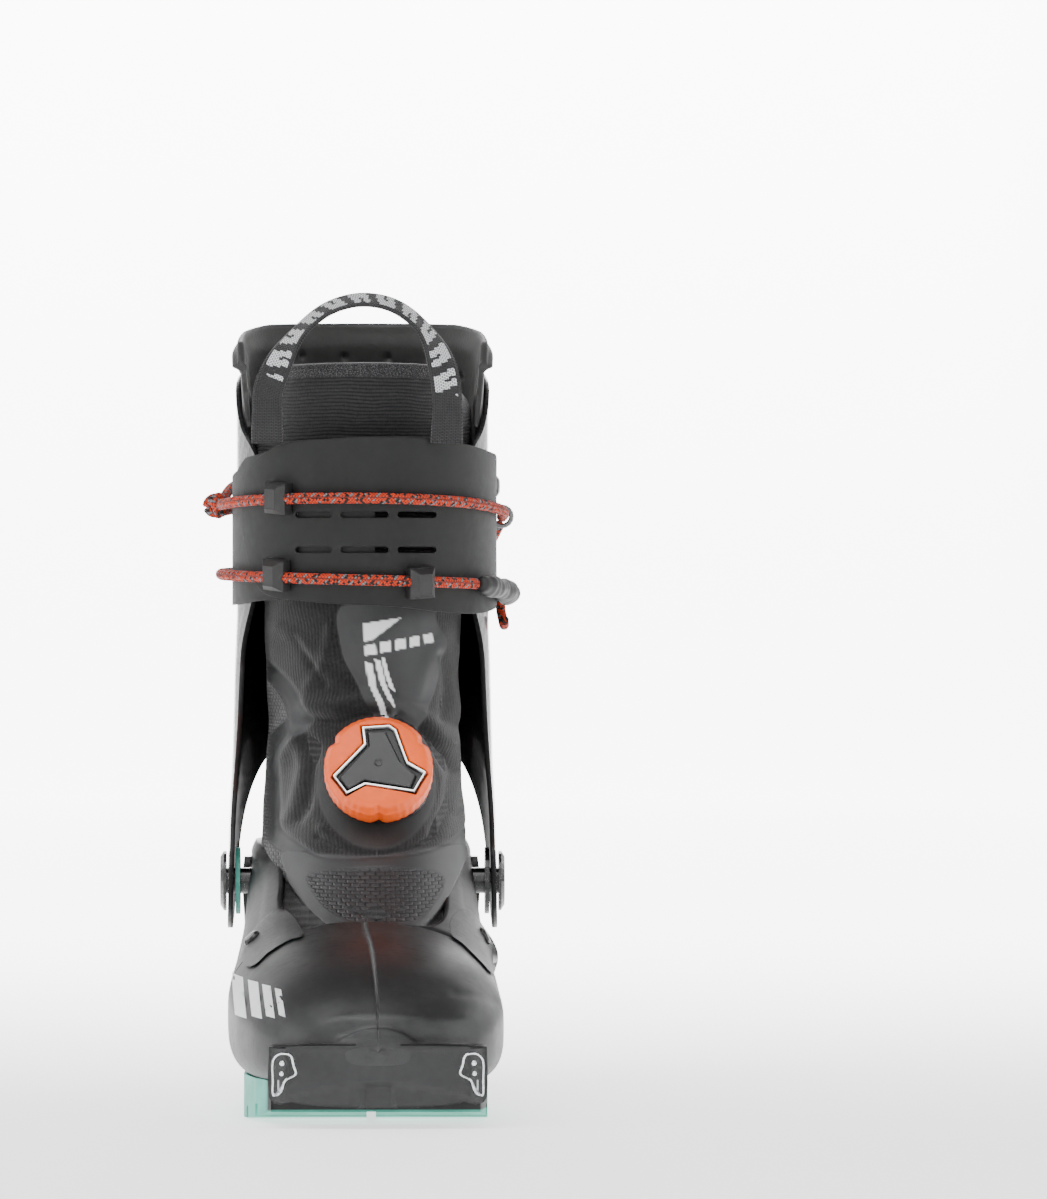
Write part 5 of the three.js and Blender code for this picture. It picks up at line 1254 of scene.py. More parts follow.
# plain slanted stripes on the outer side of the toe
for k, (x0, w) in enumerate([(-45.2, 4.2), (-39.2, 3.6), (-34.2, 3.0), (-29.8, 2.2)]):
    shell_print(f"toe_stripe_{k}", [(x0, 49 - k * 0.9), (x0 + w, 48.6 - k * 0.9),
                                    (x0 + w + 1.6, 35.6 + k * 0.5), (x0 + 1.6, 36.2 + k * 0.5)], WHITE_PRINT)


# ------------------------------------------------------------------ gaiter
FLEECE_SEAM = [(-35, 156), (-29, 151), (-23, 143), (-20, 139), (-19.4, 134), (-26, 128), (-29.5, 123),
               (-30.6, 117), (-30.6, 106), (-31, 100), (-29.5, 97),
               (-24.5, 94), (-20, 91), (-16, 89), (-4, 88.4), (5.7, 89), (16.5, 89.5), (27, 91.6),
               (36.6, 96.7), (39.8, 102), (40.5, 113), (38, 120),
               (38, 150), (36, 190), (-36, 190)]
FLEECE_SEAM = spline(FLEECE_SEAM[:-3], 150, closed=False).tolist() + [(40, 190), (-38, 190), (-37, 160)]
TONGUE = [(-7, 176), (-9.4, 172), (-8.3, 163.5), (-6.5, 156), (-2, 148), (0.7, 142), (3.5, 138),
          (4.6, 134), (22, 126), (20.8, 133), (23.7, 139), (26.5, 145), (28.3, 155),
          (30, 163.5), (26.5, 172), (26.5, 176)]
TONGUE = spline(TONGUE, 160)
PANEL = spline([(-29, 88.5), (-27.6, 81), (-27, 74), (-25.5, 68), (-22.6, 64), (9, 62), (32.7, 64),
                (36, 74), (37.7, 79), (38.4, 90), (27, 91.6), (5, 89.2), (-16, 89.4)], 160)
WINDOW = spline([(-19.5, 81), (-15.6, 83), (5.6, 84.7), (25, 83), (28.8, 80), (26, 74), (19.7, 68),
                 (11, 66.7), (-1.5, 67), (-12, 71), (-17, 76)], 120)
STRIPES = [[(1, 156), (3.5, 155.2), (5.2, 146), (8.4, 139), (11.2, 133.2), (7.6, 136.5), (4.4, 143),
            (2.0, 149)],
           [(4.3, 157), (6.4, 156.3), (8.4, 148), (11.6, 139.4), (8.8, 142.5), (6.2, 149)],
           [(6.8, 157.7), (8.0, 157.2), (9.6, 151), (11.8, 144.8), (9.6, 147), (7.9, 152)]]
# plain print above the stripes: a wedge over a row of short slanted bars
MARKS = [[(0.5, 169.5), (14, 171.5), (3.0, 163.5), (0.5, 163.2)],
         [(0.4, 161.6), (4.6, 162.4), (5.0, 158.8), (0.9, 158.2)],
         [(6.2, 162.8), (10, 163.4), (10.3, 159.8), (6.5, 159.2)],
         [(11.6, 163.7), (15.4, 164.3), (15.6, 160.8), (11.9, 160.1)],
         [(17, 164.6), (20.6, 165.2), (20.8, 161.8), (17.2, 161.1)],
         [(22.2, 165.5), (25.4, 166), (25.6, 162.9), (22.4, 162.3)]]


GAITER_LOW = 60.5


def gaiter_sheet():
    n_t, n_z = 420, 250
    t = np.linspace(-math.pi, math.pi, n_t, endpoint=False)
    top = np.interp(np.cos(t), [-1, -0.25, 0.25, 1], [186, 186, 142, 142])
    rows = [leg_point(t, GAITER_LOW + (top - GAITER_LOW) * (k / (n_z - 1)), 0.0) for k in range(n_z)]
    return t, np.array(rows)


turn_g, g = gaiter_sheet()
x, y, z = g[..., 0], g[..., 1], g[..., 2]
T = np.repeat(turn_g[None], g.shape[0], 0)
facing = smooth_step(0.0, -0.35, np.cos(T))
n_g = grid_normals(g, wrap=True)
if n_g[120, 210] @ (g[120, 210] - [0, 0, g[120, 210][2]]) < 0:
    n_g = -n_g


def line_distance(px, pz, path):
    """Distance in mm to a line in (x, z)."""
    p = np.stack([px.ravel(), pz.ravel()], -1)
    best = np.full(len(p), 1e9)
    for s, e in zip(path, path[1:]):
        s, e = np.array(s, float), np.array(e, float)
        d = e - s
        tt = np.clip(((p - s) @ d) / (d @ d), 0, 1)
        best = np.minimum(best, np.linalg.norm(p - s - tt[:, None] * d, axis=1))
    return best.reshape(px.shape)


def arc_line(points, n=30):
    """An open smooth line through points."""
    return [tuple(q) for q in spline(points, n, closed=False)]


folds = np.zeros_like(x)
# creases over and round the dial, fanning to the sides, and slack folds under the flaps
for line, width_f, depth_f in [
        ([(-20, 141), (-10, 140), (2, 142.5), (14, 141), (24, 135), (31, 127)], 3.2, 1.7),
        ([(-19, 136), (-9, 135.5), (0, 138), (8, 137.5)], 1.6, -1.5),
        ([(13, 137.3), (21, 132), (27, 125), (33, 117)], 1.7, -1.5),
        ([(-33, 150), (-27, 141), (-24, 132), (-29, 124), (-33, 118)], 2.6, 1.3),
        ([(-22, 131), (-18, 126), (-17.5, 118), (-19, 109), (-23, 101)], 2.0, -1.2),
        ([(-24, 127), (-22.5, 118), (-24.5, 108), (-28, 100)], 2.4, 1.1),
        ([(29, 123), (31, 114), (30, 104), (26, 97)], 2.2, -1.0),
        ([(33.5, 130), (35.5, 118), (34.5, 105)], 2.4, 1.0),
        ([(-14, 98), (-6, 94.5), (4, 93), (14, 94), (22, 98)], 2.0, 1.0),
        ([(-16, 95), (-6, 91.5), (4, 90.4), (16, 91.5), (25, 95)], 1.1, -0.8),
        ([(-30, 168), (-20, 161), (-10, 158)], 2.6, 0.7), ([(30, 165), (22, 154), (20, 145)], 2.6, 0.7),
        ([(36, 160), (33, 148), (35, 136)], 2.6, 1.0), ([(28, 158), (31, 146), (29, 136)], 1.8, -0.8),
        ([(-12, 168), (-14, 156), (-20, 147)], 2.2, 0.8), ([(-25, 164), (-18, 154), (-14, 148)], 1.6, -0.7)]:
    folds += depth_f * np.exp(-(line_distance(x, z, arc_line(line)) / width_f) ** 2)
waves = 0.45 * np.sin(z * 0.16 + 2.2 * np.sin(T * 3.0)) + 0.35 * np.sin(z * 0.31 + T * 4.0 + 1.0)
dial_d = np.hypot(x - 5, z - 112.5)
patch = smooth_step(22.0, 20.8, dial_d) * facing
lift = ((folds * facing + waves * smooth_step(60, 90, z) * (0.4 + 0.6 * facing))
        * smooth_step(20, 26, dial_d + 60 * (1 - facing)) * smooth_step(66, 92, z))
panel_d = signed_distance(x, z, PANEL)
seam_fleece = signed_distance(x, z, FLEECE_SEAM)
tongue_d = signed_distance(x, z, TONGUE)
window_d = signed_distance(x, z, WINDOW)
is_panel = smooth_step(-0.35, 0.35, panel_d) * facing
lift = lift * (1 - 0.7 * is_panel)
lift += 0.55 * smooth_step(-0.5, 0.5, panel_d) * facing - 0.5 * smooth_step(-0.4, 0.4, window_d) * facing
lift += 0.35 * smooth_step(-0.4, 0.5, tongue_d) * facing + 0.4 * patch
lift -= 0.5 * np.exp(-(seam_fleece / 0.9) ** 2) * facing * (z < 170)
fleece = smooth_step(-0.5, 0.5, seam_fleece) * facing
outside = (1 - fleece) * (1 - is_panel)
# next to the fleece a plain film, then a rubber mesh further round the sides
far = seam_fleece + 6.5 + 2.5 * np.sin(z * 0.07)
is_mesh = outside * np.maximum(smooth_step(0.5, -0.5, far), 1 - facing)
is_film = outside * (1 - is_mesh)
is_tongue = smooth_step(-0.3, 0.3, tongue_d) * facing
is_film = np.maximum(is_film, np.maximum(is_tongue, patch * 0.9))
is_mesh = is_mesh * (1 - is_tongue)
white = np.zeros_like(x)
for shape in STRIPES + MARKS:
    white = np.maximum(white, smooth_step(-0.12, 0.12, signed_distance(x, z, np.array(shape))) * facing)
seam = ((np.exp(-(seam_fleece / 0.35) ** 2) * 0.7 + np.exp(-(window_d / 0.5) ** 2) * 0.25
         + np.exp(-(panel_d / 0.4) ** 2) * 0.4) * facing * (z < 172))
# the lower edge tucks in under the shell's collar
inside_shell = z < collar_line(y)
lift = np.where(inside_shell, np.minimum(lift, 0) - 3.4 * smooth_step(0, 3, collar_line(y) - z), lift)
lift = lift - 0.9
g2 = g + n_g * lift[..., None]
arc_g = np.repeat(np.interp(turn_g, [-math.pi, math.pi], [0, 232])[None], g.shape[0], 0)
gaiter = grid("gaiter_cloth", g2, GAITER, wrap=True, uv=np.stack([arc_g, z], -1).reshape(-1, 2),
              masks={"film": is_film.ravel(), "mesh": is_mesh.ravel(), "panel": is_panel.ravel(),
                     "window": (smooth_step(-0.3, 0.3, window_d) * facing).ravel(),
                     "white": white.ravel(), "seam": np.clip(seam, 0, 1).ravel()})
modifier(gaiter, "SOLIDIFY", thickness=0.0012, offset=-1.0)
tuple(row([0, -60, 128]))
tuple(row([0, -50, 172]))
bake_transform(gaiter)
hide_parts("gaiter")

# ------------------------------------------------------------------ heel frame
def heel_overlay():
    """The back of the heel by levels, from ear to ear, raised round two smooth oval windows."""
    ys = np.linspace(-20, 0.925 * HEEL, 140)
    zs = np.linspace(27.6, 90.5, 130)
    n = 261
    rows = []
    for z in zs:
        reach, mid, _, _ = foot_reach(ys, z)
        right = np.stack([mid + reach, ys], -1)
        left = np.stack([mid - reach, ys], -1)[::-1]
        end = np.array([[mid[-1], 0.93 * HEEL + 2.2]])
        ring = np.vstack([right, end, left])
        length = np.concatenate([[0], np.cumsum(np.linalg.norm(np.diff(ring, axis=0), axis=1))])
        centre = length[len(ys)]
        q = np.linspace(centre - 108, centre + 108, n)
        q = np.clip(q, 0, length[-1])
        ring = np.stack([np.interp(q, length, ring[:, 0]), np.interp(q, length, ring[:, 1]),
                         np.full(n, z)], -1)
        rows.append(ring)
    p = np.array(rows)
    # soften the point at the middle of the back
    for _ in range(14):
        p[:, 1:-1, :2] = 0.5 * p[:, 1:-1, :2] + 0.25 * (p[:, 2:, :2] + p[:, :-2, :2])
    return p


hp = heel_overlay()
hn = grid_normals(hp)
if hn[60, 130][1] < 0:
    hn = -hn
x, y, z = hp[..., 0], hp[..., 1], hp[..., 2]
WIN = [(35.6, 71), (30.7, 76), (23, 77), (15.7, 73), (11.5, 66), (10.6, 56), (12, 47), (18.6, 38),
       (25, 34), (29, 37.5), (35, 48), (38.5, 61.6)]
win_d = np.maximum(signed_distance(x, z, spline(WIN, 120)), signed_distance(-3.2 - x, z, spline(WIN, 120)))
win_d = np.where(y > 30, win_d, -10)
side_open = signed_distance(y, z, spline([(14, 86), (-30, 92), (-30, 20), (26, 26), (20, 40), (30, 56),
                                          (25, 74)], 100))
top_line = 87.5 - 0.0022 * x ** 2 - 14 * smooth_step(46, 28, y)
edge = np.minimum(np.minimum(-win_d, -side_open), top_line - z)
on = smooth_step(-0.2, 1.3, edge)
pillow = 0.7 * smooth_step(0, 9, win_d)
offset = 0.35 + pillow + 2.1 * on - 0.35 * smooth_step(2.0, 6.0, edge) * on
hp2 = hp + hn * offset[..., None]
# a channel down the middle lets the lever's hook come in as the cuff leans back
channel = np.interp(hp2[..., 2], [36, 40, 47, 49, 53, 55, 71, 76],
                    [95, 82.8, 82.8, 86.2, 86.2, 84.6, 84.6, 95])
hp2[..., 1] -= smooth_step(14, 9.5, np.abs(hp2[..., 0])) * np.maximum(0, hp2[..., 1] - channel)
sides_off = side_open > 1.0
mask_win = 1 - smooth_step(0.0, 0.9, edge)
o = grid("heel_reinforcement", hp2, FRAME_LOOK, masks={"window": mask_win.ravel()})
bm = bmesh.new()
bm.from_mesh(o.data)
bm.verts.ensure_lookup_table()
gone = [v for v, off in zip(bm.verts, (sides_off | (top_line - z < -1.2)).ravel()) if off]
bmesh.ops.delete(bm, geom=gone, context="VERTS")
bm.to_mesh(o.data)
bm.free()
keep(o, "shell", slot="frame_plastic")


# ------------------------------------------------------------------ dial
DIAL_AT = np.array([5.6, float(leg_front(116.5)) - 7, 116.5])
tilt = math.radians(25)
DIAL_N = np.array([0, -math.cos(tilt), math.sin(tilt)])
DIAL_U = np.array([0, math.sin(tilt), math.cos(tilt)])
DIAL_R = np.array([1.0, 0, 0])


def dial_point(u, v, w):
    """A point from the dial's right, up and outward distances."""
    return (DIAL_AT + np.multiply.outer(u, DIAL_R) + np.multiply.outer(v, DIAL_U)
            + np.multiply.outer(w, DIAL_N))


def polar_solid(name, radius, heights, material, body, rings=40, sides=180, node=None, masks=None):
    """A round piece on the dial's axis: height(r, a) on top, straight sides with a rounded rim."""
    a = np.linspace(0, 2 * math.pi, sides, endpoint=False)
    rows = []
    for k in range(rings):
        f = k / (rings - 1)
        r = radius(a) * f
        h = heights(r, a, f)
        rows.append(dial_point(r * np.cos(a), r * np.sin(a), h))
    top_edge = heights(radius(a), a, 1.0)
    for w in (0.66, 0.33, 0.0):
        r = radius(a)
        rows.append(dial_point(r * np.cos(a), r * np.sin(a), 1.0 + (top_edge - 1.0) * w))
    for f in (0.9, 0.0):
        r = radius(a) * f
        rows.append(dial_point(r * np.cos(a), r * np.sin(a), np.full(sides, 1.0)))
    o = grid(name, np.array(rows), material, wrap=True,
             masks={k: np.array([np.broadcast_to(v(radius(a) * min(1, i / (rings - 1)), a), (sides,))
                                 for i in range(len(rows))]).ravel() for k, v in (masks or {}).items()})
    modifier(o, "WEIGHTED_NORMAL")
    return keep(o, body, node)


LOBE_POLY = np.array([(-6, 14.1), (3.9, 14.8), (6.3, 13), (10.6, 0.4), (17.0, -3.5), (12.7, -11.3),
                      (-4.6, -8.5), (-11.3, -12.1), (-16.3, -5), (-5.3, 7.4)])[::-1]
PLATE_POLY = np.array([(-3.9, 12), (2.5, 12), (7.6, 0.6), (13.2, -4.6), (11.2, -9.6), (-4.9, -6.7),
                       (-10.6, -10.3), (-13.8, -5.8), (-3.4, 6.6)])[::-1]


def lobe_radius(a, grow=0.0):
    """Where a ray from the middle meets the three-armed outline."""
    a = np.asarray(a, float)
    c, s_ = np.cos(a), np.sin(a)
    best = np.full(a.shape, 1e9)
    for p0, p1 in zip(LOBE_POLY, np.roll(LOBE_POLY, -1, 0)):
        d = p1 - p0
        den = c * d[1] - s_ * d[0]
        t = (p0[0] * d[1] - p0[1] * d[0]) / np.where(np.abs(den) < 1e-9, 1e-9, den)
        u = (p0[0] * s_ - p0[1] * c) / np.where(np.abs(den) < 1e-9, 1e-9, den)
        ok = (t > 0) & (u >= -1e-6) & (u <= 1 + 1e-6)
        best = np.where(ok & (t < best), t, best)
    return best + grow


def lobe_inset(r, a):
    """Distance in from the three-armed outline, in mm."""
    r, a = np.broadcast_arrays(r, a)
    return signed_distance(r * np.cos(a), r * np.sin(a), LOBE_POLY)


def grip_radius(a):
    """The grip's radius, with fine ribs and three notches."""
    near = np.min([np.abs(np.angle(np.exp(1j * (a - math.radians(d))))) for d in (30, 150, 270)], axis=0)
    fine = 0.16 * np.cos(a * 42) * smooth_step(0.2, 0.35, near)
    return 19.0 - 1.35 * np.exp(-(near / 0.085) ** 2) + fine * 0.6


def grip_height(r, a, f):
    """The grip's height, crowned and sunk where the face sits."""
    gap = -lobe_inset(r, a) - 0.2
    base = 11.0 - 0.012 * np.maximum(0, r - 8) ** 2 - 2.3 * smooth_step(0.86, 1.0, np.full_like(r, f)) ** 1.6
    return np.where(gap < 0, 8.0, base) - 2.4 * (1 - smooth_step(-0.35, 0.35, gap))


polar_solid("dial_grip", grip_radius, grip_height, ORANGE, "dial_knob", rings=70, sides=360, node="knob_grip")


def plate_inset(r, a):
    """Distance in from the raised plate's outline, in mm."""
    r, a = np.broadcast_arrays(r, a)
    return signed_distance(r * np.cos(a), r * np.sin(a), PLATE_POLY)


def face_height(r, a, f):
    """The face's height: a raised line round a raised plate."""
    rim = lobe_inset(r, a)
    return (9.0 + 1.7 * smooth_step(1.35, 0.9, rim) + 1.5 * smooth_step(-0.1, 0.4, plate_inset(r, a))
            - 0.35 * smooth_step(1.5, 0.9, r))


def face_look():
    """A dark glossy plate in a chrome line, with black wells between them."""
    m = Look("dial_face")
    chrome, well = m.mask("chrome"), m.mask("well")
    return m.done(Base_Color=m.mix(well, m.mix(chrome, (0.022, 0.022, 0.023), (0.78, 0.79, 0.8)),
                                   (0.004, 0.004, 0.004)),
                  Metallic=m.times(chrome, m.minus(1.0, well)), Roughness=m.mix(chrome, 0.34, 0.14),
                  Normal=m.bump(m.noise(m.place(), 2.5, 2), 0.02))


def chrome_mask(r, a):
    """Where the face is chrome."""
    rim = lobe_inset(r, a)
    return smooth_step(0.15, 0.35, rim) * smooth_step(1.15, 0.95, rim)


def well_mask(r, a):
    """Where the face is a black well."""
    return smooth_step(1.15, 1.3, lobe_inset(r, a)) * (1 - smooth_step(-0.2, 0.2, plate_inset(r, a)))


polar_solid("dial_face_plate", lambda a: lobe_radius(a, -0.3), face_height, face_look(), "dial_knob",
            rings=80, sides=540, node="knob_face",
            masks={"chrome": chrome_mask, "well": well_mask})


# ------------------------------------------------------------------ cords behind the cuff
def cuff_path(stations, n=60):
    """Stations of (turn in degrees, z, offset) to a smooth line."""
    return spline3([cuff_point(math.radians(a), z, o) for a, z, o in stations], n)


def behind_turn(x, z, off):
    """Turn of the cuff's back at x, seen from behind."""
    a = math.asin(min(1, (abs(x) / (float(cuff_half(z)) + off)) ** (1 / 0.9)))
    return math.copysign(a, x)


def arm(side, top):
    """The cord from the lever's guide up to a ring at the side of the cuff."""
    pts = []
    for k in range(61):
        t = k / 60
        xx, zz = 12.4 + (top[0] - 12.4) * t, 127.4 + (top[1] - 127.4) * t
        off = 4.5 + 2.9 * (2 * t - 1) ** 2
        pts.append(cuff_point(behind_turn(side * xx, zz, off), zz, off))
    return np.array(pts)


for side, name, top in ((1, "medial", (49.6, 205)), (-1, "lateral", (38, 181))):
    path = arm(side, top)
    o = tube(f"arm_braid_{name}", path, 1.9, BRAID, 24, 0.4, wobble=braid_bumps)
    tuple(row(path[-1]))
    tuple(row(path[0]))
    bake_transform(o)
    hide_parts(f"cord_arm_{name}")
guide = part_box("cord_lever_run")
mid = (np.array(guide[0]) + np.array(guide[1])) / 2
gy, gz = (mid[1] - PIVOT[1]) * 1000, (mid[2]) * 1000
cord("guide_braid", [(-11.6, gy, gz), (-6, gy, gz - 0.2), (0, gy, gz), (6, gy, gz - 0.2), (11.6, gy, gz)],
     "cord_lever_run", "lever", 1.88)

peg = behind_turn(-30.4, 217, 6)
loop_cord = cuff_path([(-82, 214, 7.6), (-64, 219.5, 7.6), (math.degrees(peg) - 1.1, 222.4, 7.9),
                       (math.degrees(peg) + 5.7, 217.4, 7.9),
                       (math.degrees(peg) - 1.1, 212, 7.9), (-64, 211, 7.6), (-82, 210, 7.6)], 90)
knot_at = cuff_point(math.radians(-85), 212, 8.65)
out = cuff_point(math.radians(-85), 212, 9.65) - knot_at
out /= np.linalg.norm(out)
upw = np.array([0, 0, 1.0])
across_k = np.cross(out, upw)
pieces_k = [loop_cord]
for plane, (ua, va) in enumerate(((across_k, upw), (out * 0.6 + upw * 0.8, across_k),
                                  (out, upw * 0.9 + across_k * 0.4))):
    pieces_k.append(np.array([knot_at + 2.9 * (math.cos(q) * ua + math.sin(q) * va) + out * 0.5 * plane
                              for q in np.linspace(0, 1.85 * math.pi, 40)]))
for k, path in enumerate(pieces_k):
    cord(f"knot_braid_{k}", path, "cord_end_knot" if k == 0 else None, "link_upper_lateral", 1.85)
tail_path = cuff_path([(88, 181.5, 7.4), (83, 182, 7.8), (78.5, 176, 7.4), (83, 169, 7.8),
                       (89, 170.5, 7.4)], 60)
cord("tail_braid", tail_path, "cord_tail", "cuff", 1.75)
pull = ring_path(128.4, 92, lambda t: 183.4 - 3.4 * t, 8.95, 40)
keep(tube("pull_sleeve", pull, (np.array([0, 0.06, 0.12, 0.3, 0.38, 0.5, 0.56, 0.7, 0.8, 0.92, 1.0]),
                                np.array([2.6, 3.4, 3.9, 3.7, 3.2, 3.3, 4.1, 4.3, 3.9, 4.2, 3.2])),
          CLEAT, 28, 0.5, wobble=lambda l, a: 0.05 * np.sin(a * 3 + l * 0.5) + 0.03 * np.sin(l * 1.7)),
          "cuff", "pull_end")


# ------------------------------------------------------------------ rubber tabs over the shell's collar
def tab(name, outline, lift, thick=0.6):
    """A thin rubber tab on the shell inside an outline of (x, z) seen from the front."""
    o_xz = spline(outline, 90)

    def face(u, v, extra):
        return np.array([on_shell(a, min(b, 90.0), extra) for a, b in zip(u, v)])
    o = trimmed(name, lambda u, v: face(u, v, lift + thick), o_xz, (1.6, 1.6), SHELL, back=lambda u,
                v: face(u, v, lift - 0.4), bevel=0.4)
    return keep(o, "shell", slot="shell_plastic")


tab("tab_lateral", [(-30.5, 70), (-36, 65.4), (-41.3, 57.6), (-41.0, 52.6), (-38.0, 52.4), (-32, 57.2),
                    (-25.5, 61.0), (-20.5, 62.8), (-22.4, 66.6), (-26.5, 70)], 0.2)
tab("tab_medial", [(37.2, 69.4), (40.8, 65), (46.0, 58), (47.3, 53.6), (45.4, 49.4), (40.8, 53.6),
                   (34.6, 59.4), (30.6, 62.6), (30.6, 66.8), (33.8, 69.6)], 0.2)


# ------------------------------------------------------------------ CAD pieces that keep their own shape
LOOKS = {
    "heel_frame": GLOSS, "outsole_forefoot": SOLE, "outsole_heel": RUBBER,
    "heel_fitting": STEEL, "heel_fitting_screw": STEEL, "catch_plate": DARK_STEEL, "catch_screw": STEEL,
    "catch_pin": DARK_STEEL,
    "shell_screw_lateral": GLOSS, "shell_screw_medial": GLOSS, "pivot_cap_lateral": GLOSS,
    "pivot_cap_medial": GLOSS, "pivot_washer_lateral": TEAL,
    "pivot_washer_medial": GLOSS, "dial_base": GLOSS, "dial_core": GLOSS, "collar_rivet_lateral": GLOSS,
    "collar_rivet_medial": GLOSS,
    "stud_upper_lateral": STEEL, "stud_lower_lateral": DARK_STEEL, "stud_upper_medial": DARK_STEEL,
    "stud_lower_medial": STEEL,
    "link_upper_lateral": DARK_STEEL, "ring_lower_lateral": DARK_STEEL, "ring_upper_medial": DARK_STEEL,
    "lever_bracket": ALLOY, "bracket_screw": STEEL,
    "hinge_bolt": STEEL, "lever_bar": ALLOY, "lever_hook": BLOCK, "cleat_upper": CLEAT,
    "cleat_lower_lateral": CLEAT, "cleat_lower_medial": CLEAT,
    "liner_foot": LINING, "footbed": LINING,
}
NO_BEVEL = {"liner_foot", "footbed"}
for name, look in LOOKS.items():
    node = frame["nodes"][name]
    node.data.materials.clear()
    node.data.materials.append(look)
    node.data.polygons.foreach_set("use_smooth", [True] * len(node.data.polygons))
    if name not in NO_BEVEL:
        wide = 0.5 if name in ("outsole_forefoot", "outsole_heel", "lever_hook") else 0.28
        modifier(node, "BEVEL", width=wide / 1000, segments=3, limit_method="ANGLE",
                 angle_limit=math.radians(38), harden_normals=False)
    modifier(node, "WEIGHTED_NORMAL", keep_sharp=True)


# ------------------------------------------------------------------ toe block and its fittings
def prism(name, outline_xz, y_front, y_back, material, node):
    """A block with an (x, z) outline running back from y_front(x, z) to y_back, in place of a CAD node."""
    o_xz = np.array(outline_xz, float)
    o = trimmed(name, lambda u, v: np.stack([u, y_front(u, v), v], -1), o_xz, (1.0, 1.0), material,
                back=lambda u, v: np.stack([u, np.full_like(u, y_back), v], -1))
    return keep(o, "shell", node)


TX = 5.2


def toe_face(x, z):
    """The block's front face: bowed across, leaning back towards its top, with a dished lower pad."""
    ax = np.abs(x - TX)
    y = -188.2 + 3.0 * (ax / 36) ** 2.2 + 0.03 * np.maximum(0, z - 14) + 3.2 * smooth_step(30.5, 36, ax)
    arc_low = 15.2 - 0.0052 * ax ** 2
    pad = smooth_step(0.3, -0.3, z - arc_low) * smooth_step(33, 30, ax)
    notch = smooth_step(5.5, 4.9, ax) * smooth_step(15.6, 14.6, z)
    rim = smooth_step(26.4, 26.9, z) * (1 - smooth_step(28.0, 28.6, z))
    return y + 0.9 * pad - 0.35 * rim + 1.2 * notch


top = [(TX - 36.6 + 73.2 * k / 40, 27.6 + 1.2 * (1 - (abs(k - 20) / 20) ** 3)) for k in range(41)]
side = [(41.9, 24), (42.1, 20), (42.1, 15), (41.8, 10.4), (40.6, 8.8)]
bottom = ([(38, 8.3), (34, 9.2)] + [(TX + 27 - 54 * k / 24, 8.6 - 1.5 * (1 - ((k - 12) / 12) ** 2))
                                    for k in range(25)] + [(-23.8, 9.2), (-28, 8.3)])
side2 = [(-30.2, 8.8), (-31.4, 10.4), (-31.8, 15), (-31.8, 20), (-31.5, 24)]
prism("toe_block_fine", top + side + bottom + side2, toe_face, -160.0, BLOCK, "toe_block")


def insert(side):
    """A bright almond recess with the cone that a binding's pin seats in."""
    cx = TX + side * 31.9
    shape = spline([(cx - side * 3.9, 21.5), (cx - side * 2.6, 25.3), (cx + side * 1.4, 25.6),
                    (cx + side * 3.6, 23.4), (cx + side * 3.8, 17), (cx + side * 3.4, 11.0),
                    (cx + side * 0.6, 12.2), (cx - side * 1.0, 16.2), (cx - side * 4.6, 18.6)], 90)

    def cones(u, v):
        upper = np.clip(1 - np.hypot(u - (cx + side * 0.4), v - 22.2) / 2.3, 0, 1)
        lower = np.clip(1 - np.hypot(u - (cx + side * 0.6), (v - 18.7) * 0.9) / 1.9, 0, 1)
        return np.maximum(upper, lower)

    def face(u, v):
        pit = 1.5 * smooth_step(0.5, 1.3, signed_distance(u, v, shape))
        tongue_in = np.clip(1 - np.abs(u - (cx + side * 1.6)) / 1.3, 0, 1) * smooth_step(17.2, 16.4, v)
        return toe_face(u, v) - 0.35 + pit - 1.5 * cones(u, v) ** 0.6 - 1.5 * tongue_in

    # painted shade: the recess's floor, outside the cones, is darkened
    def dark(v2, points):
        recess = smooth_step(0.8, 1.2, signed_distance(v2[:, 0], v2[:, 1], shape))
        return recess * (1 - smooth_step(0.05, 0.25, cones(v2[:, 0], v2[:, 1])))
    o = trimmed(f"toe_insert_{'medial' if side > 0 else 'lateral'}", lambda u,
                v: np.stack([u, face(u, v), v], -1), shape, (0.3, 0.3), INSERT, masks={"dark": dark},
                back=lambda u, v: np.stack([u, toe_face(u, v) + 2.0, v], -1))
    return keep(o, "shell", f"toe_fitting_{'medial' if side > 0 else 'lateral'}")


def insert_look():
    """Bright steel; rougher in the recess, whose colour is also darkened there as painted shade."""
    m = Look("insert_steel")
    dark = m.mask("dark")
    return m.done(Base_Color=m.mix(dark, (0.74, 0.78, 0.80), (0.42, 0.44, 0.45)), Metallic=1.0,
                  Roughness=m.mix(dark, 0.16, 0.4),
                  Normal=m.bump(m.noise(m.place(), 1.2, 3), 0.03))


INSERT = insert_look()
insert(1)
insert(-1)


# ------------------------------------------------------------------ the photograph's room
scene = bpy.context.scene
scene.world = bpy.data.worlds.new("studio")
scene.world.use_nodes = True
back = scene.world.node_tree.nodes["Background"]
back.inputs[0].default_value = (1.0, 1.0, 1.0, 1)
back.inputs[1].default_value = 0.16


def area_light(name, where, aim, size, watts, colour=(1, 1, 1)):
    """A rectangular light at a place, aimed at a point."""
    light = bpy.data.lights.new(name, "AREA")
    light.shape, light.energy, light.color = "RECTANGLE", watts, colour
    light.size, light.size_y = size
    o = bpy.data.objects.new(name, light)
    o.location = where
    o.rotation_euler = (Vector(aim) - Vector(where)).to_track_quat("-Z", "Y").to_euler()
    scene.collection.objects.link(o)
    return o


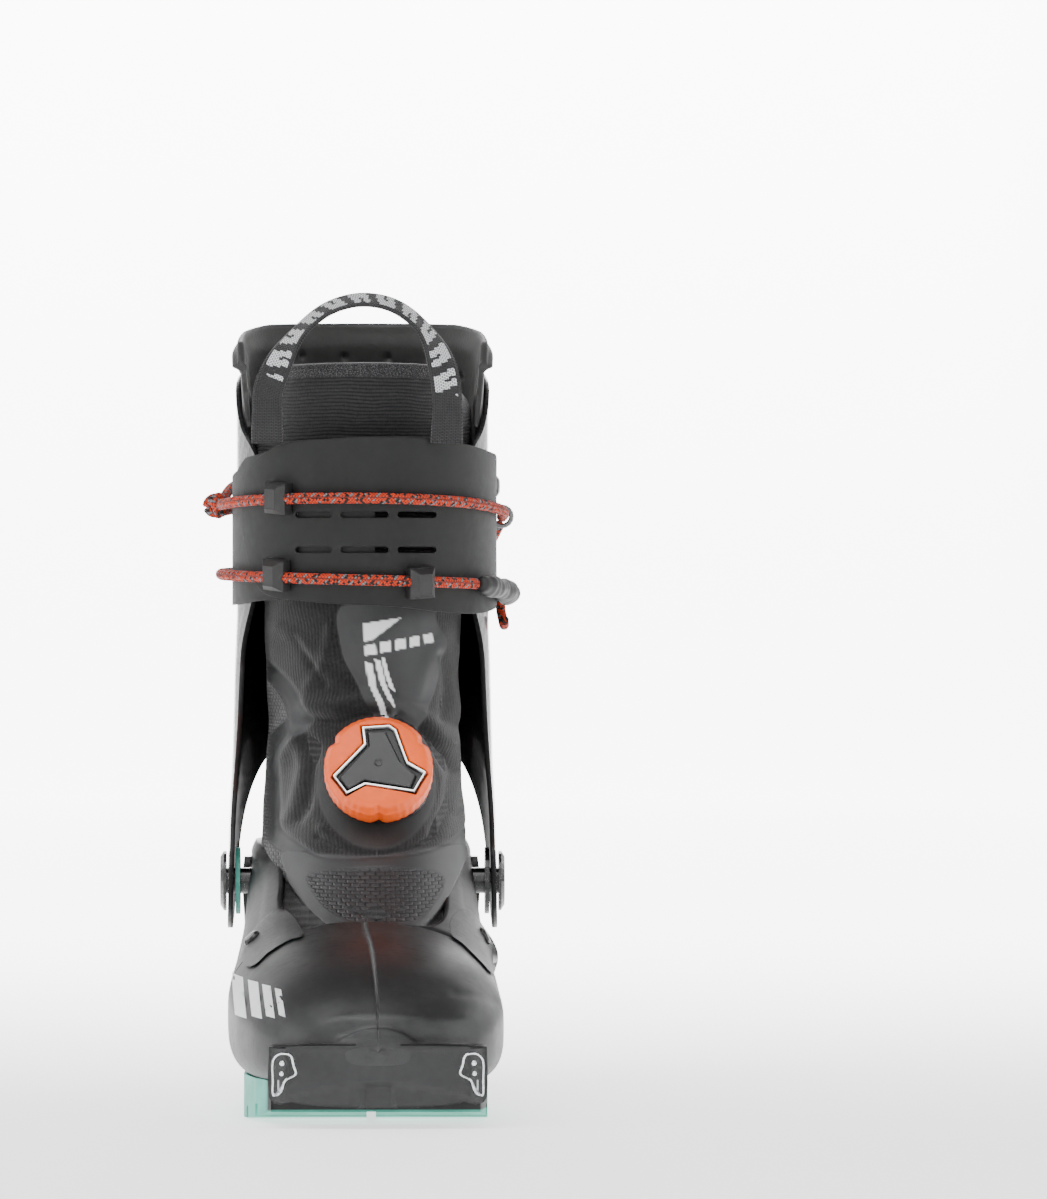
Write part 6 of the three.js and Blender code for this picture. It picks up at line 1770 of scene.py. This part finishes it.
area_light("key_top", (-0.25, -0.55, 1.15), (0, 0, 0.16), (0.9, 0.7), 9.0)
area_light("side_left", (-1.0, -0.35, 0.35), (0, 0, 0.15), (0.35, 0.9), 2.6)
area_light("side_right", (1.0, -0.35, 0.4), (0, 0, 0.15), (0.35, 0.9), 2.2)
area_light("back_left", (-0.9, 0.9, 0.7), (0, 0, 0.18), (0.5, 0.8), 1.8)
area_light("back_right", (0.9, 0.9, 0.7), (0, 0, 0.18), (0.5, 0.8), 1.8)

paper_look = Look("paper")
where = paper_look.place()
px, py, pz = paper_look.axes(where)
# painted light: the paper glows, much more far behind the boot and up the wall, so the backdrop looks lit and
# throws light on the boot from behind; a faint glow everywhere else
narrow = paper_look.ramp(paper_look.size(px), 600.0, 1250.0, 1.0, 0.0)
behind = paper_look.ramp(py, -300.0, 1500.0, 1.0, 6.0)
wall = paper_look.ramp(pz, 0.0, 900.0, 0.0, 3.0)
painted_backdrop_glow = paper_look.times(narrow, paper_look.add(behind,
                                               paper_look.times(wall, paper_look.ramp(py, 0.0, 1500.0))))
around = paper_look.ramp(pz, 0.0, 1500.0, 0.1, 0.2)
paper_look.done(Base_Color=(0.93, 0.93, 0.93), Roughness=0.9, Specular_IOR_Level=0.05,
                Emission_Color=(1.0, 1.0, 1.0),
                Emission_Strength=paper_look.add(painted_backdrop_glow, around))
rim = ([(0.0, 0.0), (1.5, 0.0), (4.2, 0.0)]
       + [(4.2 + 1.3 * math.sin(q), 1.3 - 1.3 * math.cos(q)) for q in np.linspace(0.1, math.pi / 2, 14)]
       + [(5.5, 5.0)])
verts = [(r * math.cos(q), r * math.sin(q), z) for r, z in rim[1:]
         for q in np.linspace(0, 2 * math.pi, 96, endpoint=False)]
faces = [tuple(range(96))] + grid_faces(len(rim) - 1, 96, True)
sweep = bpy.data.meshes.new("paper_sweep")
sweep.from_pydata(verts, [], faces)
sweep.polygons.foreach_set("use_smooth", [True] * len(sweep.polygons))
paper = bpy.data.objects.new("paper_sweep", sweep)
sweep.materials.append(paper_look.material)
scene.collection.objects.link(paper)

cam = bpy.data.cameras.new("camera")
cam.sensor_fit, cam.sensor_width, cam.sensor_height, cam.lens = "VERTICAL", 31.4, 36.0, 233.7
cam.clip_end = 50
camera = bpy.data.objects.new("camera", cam)
camera.location = (0.0002, 0.046 - 2.8, 0.178)
camera.rotation_euler = (math.radians(90), 0, math.radians(-1.185))
scene.collection.objects.link(camera)
scene.camera = camera
